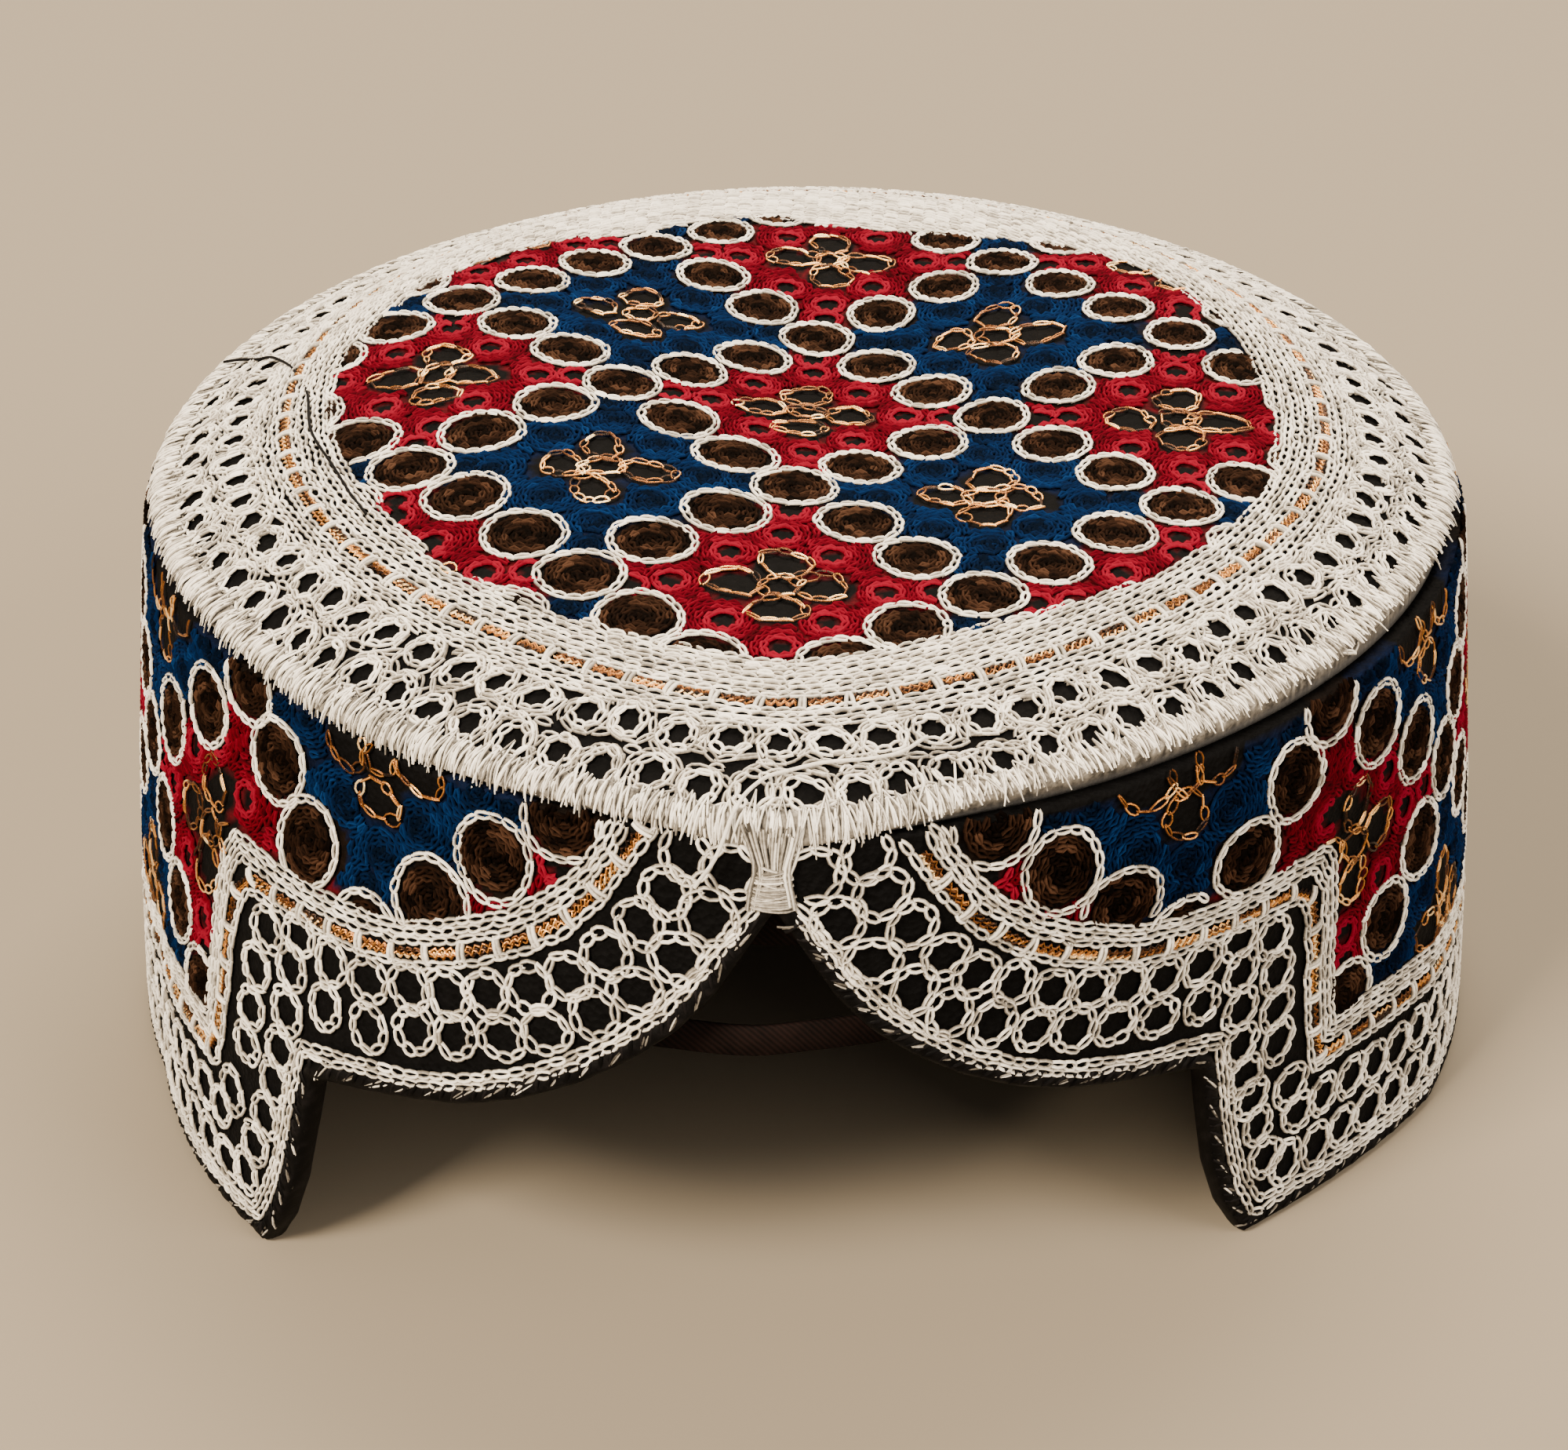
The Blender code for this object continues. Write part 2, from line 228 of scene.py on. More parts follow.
def sampled(grid, x, y):
    """A grid's value between its points."""
    i = np.clip(x + GRID_HALF, 0, 2 * GRID_HALF - 0.001)
    j = np.clip(y + GRID_HALF, 0, 2 * GRID_HALF - 0.001)
    i0, j0 = i.astype(int), j.astype(int)
    u, v = i - i0, j - j0
    return (grid[i0, j0] * (1 - u) * (1 - v) + grid[i0 + 1, j0] * u * (1 - v)
            + grid[i0, j0 + 1] * (1 - u) * v + grid[i0 + 1, j0 + 1] * u * v)


def crown(x, y):
    """Points and outward normals on the crown."""
    x, y = np.asarray(x, float), np.asarray(y, float)
    here = np.stack([x, y + SHIFT_Y, sampled(HEIGHT, x, y)], -1)
    return here, unit(np.stack([-sampled(SLOPE_X, x, y), -sampled(SLOPE_Y, x, y), np.ones_like(x)], -1))


def plan_ring(inset, dip=0.0):
    """The seam's plan moved inwards, as a closed path on the crown. It may dip outwards at the front."""
    s = np.linspace(-HALF_ROUND, HALF_ROUND, 1441)
    return inset_plan(np.clip(s, -HALF_ROUND, HALF_ROUND - 1e-6), inset - dip * np.exp(-(s / 16) ** 2))


def make_piece(name, points, faces, material, slot, tone=None, tint=None):
    """One visible piece. tone is each thread's own tone with painted shade added, and tint is the ground
    cloth's dye.
    """
    mesh = bpy.data.meshes.new(name)
    points = np.asarray(points, np.float32).reshape(-1, 3) / 1000
    points[:, 2] = np.maximum(points[:, 2], 0.0)
    faces = np.asarray(faces, np.int32)
    mesh.vertices.add(len(points))
    mesh.vertices.foreach_set("co", points.ravel())
    mesh.loops.add(faces.size)
    mesh.loops.foreach_set("vertex_index", faces.ravel())
    mesh.polygons.add(len(faces))
    mesh.polygons.foreach_set("loop_start", np.arange(0, faces.size, faces.shape[1], dtype=np.int32))
    mesh.polygons.foreach_set("use_smooth", np.ones(len(faces), bool))
    mesh.update(calc_edges=True)
    mesh.validate()
    if tone is not None:
        tones = mesh.attributes.new("tone", "FLOAT", "POINT")
        tones.data.foreach_set("value", np.clip(tone, 0, 1).astype(np.float32))
    if tint is not None:
        colour = np.concatenate([tint, np.ones((len(tint), 1))], 1).astype(np.float32)
        mesh.color_attributes.new("tint", "FLOAT_COLOR", "POINT").data.foreach_set("color", colour.ravel())
    piece = bpy.data.objects.new(name, mesh)
    bpy.context.scene.collection.objects.link(piece)
    mesh.materials.append(material)
    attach(piece, "root")
    return piece


def ring_faces(rows, wide, closed_rows=True):
    """Faces between rings of points, each ring closed, and the last joined to the first or not."""
    j = np.arange(rows if closed_rows else rows - 1)[:, None]
    i = np.arange(wide)[None]
    down, right = (j + 1) % rows, (i + 1) % wide
    return np.stack([j * wide + i, j * wide + right, down * wide + right, down * wide + i], -1).reshape(-1, 4)


def make_skin(name, rows, material, node, inward=False, **colours):
    """A closed skin through rings of points, shown in place of one CAD node."""
    faces = ring_faces(len(rows), len(rows[0]))
    if inward:
        faces = faces[:, ::-1]
    piece = make_piece(name, np.concatenate(rows), faces, material, node, **colours)
    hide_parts(node)
    return piece


# A thread's section, as steps to the side and up in radii. Its hidden underside is left out
THIN = ((-1.0, -0.15), (0.0, 1.0), (1.0, -0.15))
ROUND = ((-0.9, -0.5), (-0.75, 0.65), (0.0, 1.0), (0.75, 0.65), (0.9, -0.5))
# A link of chain: shares of its way, and how far its two strands part and rise there
FINE_LINK = ((0.0, 0.2, 0.5, 0.8, 1.0), (0.15, 0.8, 1.12, 0.9, 0.2), (0.0, 0.26, 0.36, 0.36, 0.14))
PLAIN_LINK = ((0.0, 0.45, 1.0), (0.25, 1.1, 0.3), (0.05, 0.34, 0.1))
LINK_OVERLAP, LINK_RADIUS = 0.22, 0.25


class Stitches:
    """Strands of thread on a surface, gathered into one mesh."""

    def __init__(self, surface):
        self.surface, self.points, self.faces, self.tones, self.count = surface, [], [], [], 0

    def strands(self, path, lift, radius, tone, off=0.0, section=THIN):
        """path is (n, k, 2) on the surface; lift, radius and sideways off are numbers or (k,) or (n, k)."""
        n, k = path.shape[:2]
        here, normal = self.surface(path[..., 0], path[..., 1])
        lift, radius, off = (np.broadcast_to(v, (n, k))[..., None] for v in (lift, radius, off))
        centre = here + normal * lift + np.cross(normal, unit(np.gradient(here, axis=1))) * off
        across = unit(np.cross(normal, unit(np.gradient(centre, axis=1))))
        ring = np.stack([centre + across * radius * a + normal * radius * b for a, b in section], 2)
        w = len(section)
        base = self.count + (np.arange(n)[:, None, None] * k + np.arange(k - 1)[None, :, None]) * w \
            + np.arange(w - 1)[None, None, :]
        quads = np.stack([base, base + 1, base + w + 1, base + w], -1)
        self.points.append(ring.reshape(-1, 3))
        self.faces.append(quads.reshape(-1, 4))
        # Painted shade: the thread's sides are coloured darker, most at its lowest edges, standing in for the
        # shadow where it sinks between its neighbours
        crevice_shade = np.array([0.0 if b > 0.9 else -0.15 if b > 0 else -0.55 for _, b in section])
        tone = np.broadcast_to(tone, (n,))[:, None, None] + crevice_shade + np.zeros((1, k, 1))
        self.tones.append(tone.ravel())
        self.count += n * k * w

    def links(self, a, b, width, radius, tone, lift=0.0, form=FINE_LINK, spread=0.12, vary=0.10):
        """Chain stitches from a to b, each an open loop of two strands that ends under the next one."""
        n = len(a)
        if n == 0:
            return
        shares, part, rise = np.array(form)
        path = between(a, b + (b - a) * LINK_OVERLAP, shares)
        size = (width / 2 - radius) * (1 + RNG.normal(0, spread, (n, 1)))
        tone = tone + RNG.normal(0, vary, n)
        for side in (-1, 1):
            self.strands(path, rise * radius / LINK_RADIUS + lift, radius, tone + RNG.normal(0, 0.08, n),
                         off=side * size * part[None, :])

    def links_where(self, keep, points, tone, **look):
        """Links along each path of points, where keep allows."""
        a, b = points[..., :-1, :].reshape(-1, 2), points[..., 1:, :].reshape(-1, 2)
        ok = keep((a[:, 0] + b[:, 0]) / 2, (a[:, 1] + b[:, 1]) / 2)
        self.links(a[ok], b[ok], tone=np.broadcast_to(tone, ok.shape)[ok], **look)

    def piece(self, name, material, slot):
        return make_piece(name, np.concatenate(self.points), np.concatenate(self.faces), material, slot,
                          tone=np.concatenate(self.tones))


def resampled(path, step, surface):
    """Points along a path at an even pace over the real surface."""
    way = travelled(surface(path[:, 0], path[:, 1])[0])
    count = max(2, int(round(way[-1] / step)))
    return at_ways(path, way, np.linspace(0, way[-1], count + 1))


def everywhere(x, y):
    return np.ones(np.shape(x), bool)


def chain_row(stitches, path, keep, wobble=0.13, **look):
    """A row of chain stitch along a path, where keep allows."""
    points = resampled(path, CHAIN_STEP, stitches.surface)
    points[1:-1] += RNG.normal(0, wobble, (len(points) - 2, 2))
    stitches.links_where(keep, points, **look)


def true_steps(surface, centres):
    """How much longer a millimetre of each way of the chart is on the surface, at each centre."""
    x, y = centres[:, 0], centres[:, 1]
    here = surface(x, y)[0]
    return np.stack([np.linalg.norm(moved - here, axis=-1)
                     for moved in (surface(x + 1, y)[0], surface(x, y + 1)[0])], -1)


def loops(stitches, centres, size, count, rough, keep=everywhere, **look):
    """A ring of chain stitch round each centre. size holds each ring's two radii."""
    n = len(centres)
    start = RNG.uniform(0, 2 * math.pi, n)[:, None]
    angle = start + np.linspace(0, 2 * math.pi, count + 1)
    phase = RNG.uniform(0, 6.3, (n, 1))
    wave = 1 + rough * (0.6 * np.sin(2 * angle + phase) + 0.5 * np.sin(3 * angle + 4 * start))
    ring = size[:, None] * np.stack([np.cos(angle), np.sin(angle)], -1) * wave[..., None]
    points = centres[:, None] + ring / true_steps(stitches.surface, centres)[:, None]
    points[:, 1:-1] += RNG.normal(0, 0.07, points[:, 1:-1].shape)
    points[:, -1] = points[:, 0]
    stitches.links_where(keep, points, **look)


# The pattern's colours, and the ground cloth's colour under each
BLACK, RED, BLUE, BROWN = range(4)
CLOTH = np.array([(0.0012, 0.0012, 0.0014), (0.045, 0.0012, 0.0035), (0.0006, 0.0030, 0.014),
                  (0.0030, 0.0015, 0.0009)])
OVAL, OUTLINE, OVAL_PITCH, OVAL_GROUND = 4.45, 5.05, 11.15, 4.95
FLOWER_GROUND = 0.75             # how far the black ground reaches past a flower's petals
# A field's eyelets and petals, from its middle. A petal has its place and its two radii
EYELETS = ((6.3, 7.8), (-6.3, 7.8), (6.3, -7.8), (-6.3, -7.8), (12.6, 0.0), (-12.6, 0.0), (0.0, 13.4),
           (0.0, -13.4), (17.4, 0.0), (-17.4, 0.0), (0.0, 17.8), (0.0, -17.8))
PETALS = ((5.3, 0.0, 3.1, 2.7), (-5.3, 0.0, 3.1, 2.7), (0.0, 5.2, 2.8, 2.8), (0.0, -5.2, 2.8, 2.8))


def in_flower(dx, dy):
    """Whether a step from a field's middle is on the black ground of its flower."""
    inside = np.hypot(dx, dy) < 2.5 + FLOWER_GROUND
    for px, py, rx, ry in PETALS:
        inside |= np.hypot((dx - px) / (rx + FLOWER_GROUND), (dy - py) / (ry + FLOWER_GROUND)) < 1
    return inside


# Crown: a lattice of ovals, three steps to a field
STEP = OVAL_PITCH / math.sqrt(2)
LATTICE_X, LATTICE_Y, LATTICE_TURN = 0.4, -2.9, math.radians(-1.93)
OVALS_FROM = 17.6        # least inset of an oval's middle


def sag(y):
    """How far the pattern lies further out towards the front."""
    return 1.9 * smooth((-30 - y) / 30)


def lattice_to_crown(u, w):
    x, y = (u - w) * STEP, (u + w) * STEP
    c, s = math.cos(LATTICE_TURN), math.sin(LATTICE_TURN)
    x, y = x * c - y * s + LATTICE_X, x * s + y * c + LATTICE_Y
    return x, y - sag(y)


def crown_to_lattice(x, y):
    x, y = x - LATTICE_X, y + sag(y + 1.5) - LATTICE_Y
    c, s = math.cos(LATTICE_TURN), math.sin(LATTICE_TURN)
    x, y = x * c + y * s, -x * s + y * c
    return (x + y) / (2 * STEP), (y - x) / (2 * STEP)


def is_oval(u, w):
    return (np.abs((u - 1.5) % 3) < 0.01) | (np.abs((w - 1.5) % 3) < 0.01)


def eyelet_spots(centres, squash=(1.0, 1.0)):
    """Each field's eyelets, set a little unevenly, by the field's place in its lattice."""
    return {cell: np.array(EYELETS) * squash + RNG.normal(0, 0.45, (len(EYELETS), 2)) + centre
            for cell, centre in centres.items()}


def crown_is_red(cell):
    return sum(cell) % 2 == 0


def band_is_red(cell):
    return cell[1] % 2 == 1


def red_eyes(spots, is_red):
    return np.concatenate([eyes for cell, eyes in spots.items() if is_red(cell)])


def near_any(x, y, spots, reach):
    """Whether any of the spots lies within reach of a place."""
    x, y = np.asarray(x, float), np.asarray(y, float)
    close = np.zeros(x.shape, bool)
    for px, py in spots:
        close |= (np.abs(x - px) < reach) & (np.hypot(x - px, y - py) < reach)
    return close


CROWN_CELLS = {(i, j): lattice_to_crown(3.0 * i, 3.0 * j) for i in range(-3, 4) for j in range(-3, 4)
               if abs(i) + abs(j) <= 3 and math.hypot(*lattice_to_crown(3.0 * i, 3.0 * j)) <= 82}
CROWN_SPOTS = eyelet_spots(CROWN_CELLS)
CROWN_EYES = red_eyes(CROWN_SPOTS, crown_is_red)


# Inset at which the fields end, by the direction from the middle: the white rows are wider at the front
# and the back
EDGE_TABLE = ((-180, 23.6), (-158, 24.2), (-145, 24.4), (-130, 23.3), (-116, 24.4), (-106, 25.3), (-95, 26.9),
              (-80, 26.7), (-66, 25.8), (-50, 23.6), (-35, 22.8), (-15, 23.2), (0, 24.4), (15, 25.7),
              (30, 25.9), (45, 26.4), (53, 28.6), (60, 31.2), (68, 34.0), (78, 36.5), (88, 36.6), (96, 33.2),
              (104, 32.6), (113, 35.0), (119, 34.6), (125, 30.8), (138, 28.3), (150, 26.9), (165, 25.0),
              (180, 23.6))


def field_edge(x, y):
    angle, inset = np.array(EDGE_TABLE).T
    return np.interp(np.degrees(np.arctan2(y, x)), angle, inset)


def in_crown_cell(cell, x, y):
    u, w = crown_to_lattice(x, y)
    return (np.abs(u - 3 * cell[0]) < 1.5) & (np.abs(w - 3 * cell[1]) < 1.5)


def crown_region(x, y):
    """The colour of the crown's pattern at a place."""
    u, w = crown_to_lattice(x, y)
    uo, wo = np.round(u - 0.5) + 0.5, np.round(w - 0.5) + 0.5
    gap = OVAL_PITCH * np.hypot(u - uo, w - wo)
    i, j = np.floor((u + 1.5) / 3), np.floor((w + 1.5) / 3)
    kind = np.where((i + j) % 2 == 0, RED, BLUE)
    cx, cy = lattice_to_crown(3 * i, 3 * j)
    kind = np.where(in_flower(x - cx, y - cy), BLACK, kind)
    kind = np.where(is_oval(uo, wo) & (gap < OVAL_GROUND), BROWN, kind)
    return np.where(sampled(INSET, x, y) < field_edge(x, y), BLACK, kind)


# Band: diamonds half a repeat wide and 22 high, sheared outwards low on the front
REPEAT, DROP, FIELD_TOP = 50.51, 22.0, 71.0
ROWS_TOP = 71.8                  # the band's stitches end under the seam here


def shear(s, z):
    return (6.5 * np.sign(s) * smooth((FIELD_TOP - z) / 24) * smooth((np.abs(s) - 45) / 30)
            * smooth((HALF_ROUND - np.abs(s)) / 100))


def band_to_lattice(s, z):
    return (s - shear(s, z)) / (REPEAT / 2), (FIELD_TOP - z) / DROP


def lattice_to_band(a, b):
    s, z = np.asarray(a, float) * REPEAT / 2, FIELD_TOP - np.asarray(b, float) * DROP
    flat = s
    for _ in range(6):
        s = flat + shear(s, z)
    return s, z


# The hem and the middle of the gold row, each in three stretches that match: the arch, the ear's edge and
# the base. s and z on the right half
HEM = [np.array(ARCH[:13]), np.array(ARCH[12:]), np.array([(66.0, 0.0), (HALF_ROUND, 0.0)])]
GOLD = [np.array([(0, 86), (6, 82), (12, 76.5), (16.5, 70), (18.6, 66.2), (22.3, 61), (25.5, 58), (30.3, 54.7),
                  (35.2, 52.3), (40, 50.5), (45.4, 48.9), (51, 48.2), (56.3, 47.8), (62.3, 47.7), (67.2, 47.7),
                  (73.2, 47.6)]),
        np.array([(73.2, 47.6), (75, 43.8), (75.9, 37.5), (76.1, 32), (77, 25.5), (77.9, 20.6)]),
        np.array([(77.9, 20.6), (86.5, 20.9), (92.7, 20.5), (99.7, 20), (110, 19.3), (130, 19),
                  (HALF_ROUND, 19)])]
GOLD_WAY = 19.3


def half_line(way):
    """A line of the border at a way in from the hem, on the right half, from the front centre to the back."""
    parts = []
    for hem, gold, count in zip(HEM, GOLD, (121, 49, 201)):
        low, high = evened(hem, count), evened(gold, count)
        parts.append(low + (high - low) * way / GOLD_WAY)
    return np.concatenate([parts[0], parts[1][1:], parts[2][1:]])


def border_line(way):
    right = half_line(way)
    return np.concatenate([(right * (-1, 1))[::-1], right[1:]])


def above_border(s, z, way):
    line = half_line(way)
    return z > np.interp(np.abs(s), np.maximum.accumulate(line[:, 0]), line[:, 1])


FIELD_WAY = 23.6                 # way in from the hem at which the fields begin
BAND_CELLS = {(a, b): tuple(float(v) for v in lattice_to_band(a, b)) for b in (0, 1, 2) for a in range(-10, 12)
              if (a + b) % 2 == 0}
BAND_SPOTS = eyelet_spots(BAND_CELLS, (1.05, 0.93))
BAND_EYES = red_eyes(BAND_SPOTS, band_is_red)
# An eyelet just before the back's middle is near places just past it too
BAND_EYES = np.concatenate([BAND_EYES, BAND_EYES[BAND_EYES[:, 0] > HALF_ROUND - 20] - (2 * HALF_ROUND, 0)])


def in_band_cell(cell, s, z):
    a, b = band_to_lattice(s, z)
    return np.abs(a - cell[0]) + np.abs(b - cell[1]) < 1


def band_region(s, z):
    """The colour of the band's pattern at a place."""
    a, b = band_to_lattice(s, z)
    ai, bi = np.round(a), np.round(b)
    # The diamond that holds the point: its centre is the nearest with an even sum
    odd = (ai + bi) % 2 != 0
    da, db = a - ai, b - bi
    step_a = odd & (np.abs(da) >= np.abs(db))
    step_b = odd & ~step_a
    ci = ai + np.where(step_a, np.where(da >= 0, 1, -1), 0)
    cj = bi + np.where(step_b, np.where(db >= 0, 1, -1), 0)
    da, db = a - ci, b - cj
    kind = np.where(cj % 2 != 0, RED, BLUE)
    kind = np.where(in_flower(da * REPEAT / 2 * 0.95, db * DROP), BLACK, kind)
    gap = np.full(np.shape(da), 99.0)
    for pa, pb in EDGE_OVALS:
        gap = np.minimum(gap, np.hypot((da - pa) * REPEAT / 2, (db - pb) * DROP))
    kind = np.where(gap < OVAL_GROUND, BROWN, kind)
    top = ROWS_TOP - 1.1 * smooth((s - 8) / 6) * smooth((75 - s) / 12)
    return np.where(above_border(s, z, FIELD_WAY) & (z < top), kind, BLACK)


EDGE_OVALS = [(sa * k / 3, sb * (3 - k) / 3) for k in range(4) for sa in (-1, 1) for sb in (-1, 1)]


def swirls(stitches, centres, allowed, first, tones, width):
    """Rows of chain stitch wound round each of a field's eyelets, meeting half way between them."""
    scale = true_steps(stitches.surface, centres)
    starts, ends, tone = [], [], []
    for index in range(len(centres)):
        turn = RNG.uniform(0, 6.28)
        for ring, radius in enumerate(np.arange(first, SWIRL_REACH, SWIRL_PITCH)):
            count = max(6, int(round(2 * math.pi * radius / SWIRL_STEP)))
            angle = turn + np.linspace(0, 2 * math.pi, count + 1)
            grow = radius * (1 + 0.05 * np.sin(3 * angle + turn))
            points = centres[index] + np.stack([np.cos(angle) * grow, np.sin(angle) * grow], -1) / scale[index]
            a, b = points[:-1], points[1:]
            gap = np.linalg.norm(((a + b) / 2)[:, None] - centres[None], axis=-1)
            own = gap.argmin(1) == index
            starts.append(a[own])
            ends.append(b[own])
            tone.append(np.full(own.sum(), tones[min(ring, len(tones) - 1)]))
            turn += 0.7
    a, b, tone = np.concatenate(starts), np.concatenate(ends), np.concatenate(tone)
    ok = allowed(a[:, 0], a[:, 1]) & allowed(b[:, 0], b[:, 1])
    stitches.links(a[ok], b[ok], tone=tone[ok], width=width, radius=0.27, form=PLAIN_LINK)


def spirals(stitches, centres, grow, keep):
    """Ovals filled by one chain wound from the middle."""
    angle = np.linspace(0.3, 2 * math.pi * (OVAL - 0.5) / SPIRAL_PITCH, 400)
    path = np.stack([np.cos(angle), np.sin(angle)], -1) * (0.35 + SPIRAL_PITCH * angle / (2 * math.pi))[:, None]
    x, y = evened(path, int(travelled(path)[-1] / SPIRAL_STEP) + 1).T
    n = len(centres)
    spin = RNG.uniform(0, 2 * math.pi, n)[:, None]
    cos, sin = np.cos(spin), np.sin(spin)
    turned = np.stack([x * cos - y * sin, x * sin + y * cos], -1)
    points = centres[:, None] + turned / true_steps(stitches.surface, centres)[:, None] * grow[:, None]
    points += RNG.normal(0, 0.06, points.shape)
    order = np.arange(points.shape[1] - 1)
    tone = 0.45 + 0.25 * np.sin(order * 0.9 + spin) - 0.45 * (order < 7) + RNG.normal(0, 0.2, (n, len(order)))
    stitches.links_where(keep, points, np.clip(tone, 0, 1).ravel(), width=1.2, radius=0.28, form=PLAIN_LINK)


MOTTLE = 0.55                    # share of a thread's shade that changes along the strand
TWILL_SCALE = 4400 / 6.28        # the wave texture's own scale, set for ribs finer than the stitches


def node_of(tree, kind, **values):
    node = tree.nodes.new(kind)
    for key, value in values.items():
        if key in node.inputs:
            node.inputs[key].default_value = value
        else:
            setattr(node, key, value)
    return node


def wire(tree, source, output, target, socket):
    tree.links.new(source.outputs[output], target.inputs[socket])


def noise_on(tree, place, scale, detail, roughness):
    noise = node_of(tree, "ShaderNodeTexNoise", Scale=scale, Detail=detail, Roughness=roughness)
    wire(tree, place, "Object", noise, "Vector")
    return noise


def start_material(name, roughness, specular, sheen=0.0, metallic=0.0):
    material = bpy.data.materials.new(name)
    material.use_nodes = True
    shader = material.node_tree.nodes["Principled BSDF"]
    for key, value in (("Roughness", roughness), ("Specular IOR Level", specular), ("Metallic", metallic),
                       ("Sheen Weight", sheen), ("Sheen Roughness", 0.5)):
        shader.inputs[key].default_value = value
    return material, material.node_tree, shader


def coloured(tree, source, output, stops, shader):
    """The shader's colour, from a value through a ramp of colours."""
    node = tree.nodes.new("ShaderNodeValToRGB")
    elements = node.color_ramp.elements
    while len(elements) < len(stops):
        elements.new(0.5)
    for element, (place, colour) in zip(elements, stops):
        element.position = place
        element.color = (*colour, 1.0)
    wire(tree, source, output, node, "Fac")
    wire(tree, node, "Color", shader, "Base Color")


def bump_from(tree, source, output, shader, strength, distance):
    bump = node_of(tree, "ShaderNodeBump", Strength=strength, Distance=distance)
    wire(tree, source, output, bump, "Height")
    wire(tree, bump, "Normal", shader, "Normal")


def thread_material(name, stops, roughness=0.7, specular=0.015, sheen=0.0, metallic=0.0, fuzz=0.35,
                    scale=1500.0):
    """Thread: each stitch has its own tone, which also carries painted shade on the strand's sunk sides,
    mottled along the strand and roughened by its fibres.
    """
    material, tree, shader = start_material(name, roughness, specular, sheen, metallic)
    tone = node_of(tree, "ShaderNodeAttribute", attribute_name="tone")
    place = node_of(tree, "ShaderNodeTexCoord")
    mottle = noise_on(tree, place, scale, 3.0, 0.6)
    mix = node_of(tree, "ShaderNodeMath", operation="MULTIPLY_ADD")
    mix.inputs[1].default_value = MOTTLE
    wire(tree, mottle, "Fac", mix, 0)
    shift = node_of(tree, "ShaderNodeMath", operation="SUBTRACT")
    shift.inputs[1].default_value = MOTTLE / 2
    wire(tree, tone, "Fac", shift, 0)
    wire(tree, shift, 0, mix, 2)
    coloured(tree, mix, 0, stops, shader)
    bump_from(tree, noise_on(tree, place, scale * 3.2, 2.0, 0.7), "Fac", shader, fuzz, 0.00012)
    return material


def cloth_material(name):
    """Quilted ground cloth: black cotton, dyed by the stitches over it, with a fine weave."""
    material, tree, shader = start_material(name, 0.75, 0.05)
    tint = node_of(tree, "ShaderNodeAttribute", attribute_name="tint")
    place = node_of(tree, "ShaderNodeTexCoord")
    shade = node_of(tree, "ShaderNodeMapRange")
    for key, value in (("From Min", 0.3), ("From Max", 0.75), ("To Min", 0.45), ("To Max", 1.9)):
        shade.inputs[key].default_value = value
    wire(tree, noise_on(tree, place, 900.0, 4.0, 0.65), "Fac", shade, "Value")
    mix = node_of(tree, "ShaderNodeVectorMath", operation="SCALE")
    wire(tree, tint, "Color", mix, 0)
    wire(tree, shade, 0, mix, "Scale")
    wire(tree, mix, 0, shader, "Base Color")
    cells = node_of(tree, "ShaderNodeTexVoronoi", Scale=1300.0)
    wire(tree, place, "Object", cells, "Vector")
    bump_from(tree, cells, "Distance", shader, 0.6, 0.0003)
    return material


def twill_material(name, dark, light):
    """Twill: fine slanted ribs with a worn, slightly uneven dye."""
    material, tree, shader = start_material(name, 0.8, 0.06)
    place = node_of(tree, "ShaderNodeTexCoord")
    wave = node_of(tree, "ShaderNodeTexWave", Scale=TWILL_SCALE, Distortion=0.6, Detail=1.0)
    wave.bands_direction = "DIAGONAL"
    wire(tree, place, "Object", wave, "Vector")
    mix = node_of(tree, "ShaderNodeMath", operation="MULTIPLY_ADD")
    mix.inputs[1].default_value = 0.35
    wire(tree, wave, "Fac", mix, 0)
    wire(tree, noise_on(tree, place, 220.0, 6.0, 0.7), "Fac", mix, 2)
    coloured(tree, mix, 0, [(0.35, dark), (0.95, light)], shader)
    bump_from(tree, mix, 0, shader, 0.5, 0.00025)
    return material


WHITE = thread_material("white_thread", [(0.0, (0.035, 0.030, 0.024)), (0.28, (0.22, 0.20, 0.17)),
                                         (0.62, (0.70, 0.67, 0.61)), (1.0, (0.95, 0.93, 0.89))],
                        roughness=0.65, specular=0.25, sheen=0.1)
REDS = thread_material("red_thread", [(0.0, (0.014, 0.0004, 0.0012)), (0.45, (0.080, 0.0009, 0.0058)),
                                      (1.0, (0.170, 0.0040, 0.0165))])
BLUES = thread_material("blue_thread", [(0.0, (0.0004, 0.0022, 0.0070)), (0.5, (0.0011, 0.0090, 0.041)),
                                        (1.0, (0.0032, 0.027, 0.105))])
BROWNS = thread_material("brown_thread", [(0.0, (0.0014, 0.0007, 0.0004)), (0.45, (0.0145, 0.0066, 0.0037)),
                                          (1.0, (0.056, 0.027, 0.0155))])
BLACKS = thread_material("black_thread", [(0.0, (0.0006, 0.0006, 0.0007)), (0.5, (0.0015, 0.0014, 0.0016)),
                                          (1.0, (0.007, 0.006, 0.0065))], roughness=0.55, specular=0.06)
GOLDS = thread_material("gold_thread", [(0.0, (0.010, 0.004, 0.0015)), (0.3, (0.16, 0.052, 0.010)),
                                        (0.62, (0.70, 0.29, 0.050)), (1.0, (1.0, 0.78, 0.42))],
                        roughness=0.30, specular=0.4, metallic=0.7, fuzz=0.8, scale=1100.0)
CLOTHS = cloth_material("ground_cloth")
TWILL = twill_material("lining_twill", (0.0007, 0.0004, 0.0004), (0.0075, 0.0036, 0.0032))


def edge_height(s):
    return np.interp(np.abs(s), *np.array(ARCH).T, right=0.0)


EDGE_S = np.linspace(-80, 80, 3201)
EDGE_Z = edge_height(EDGE_S)


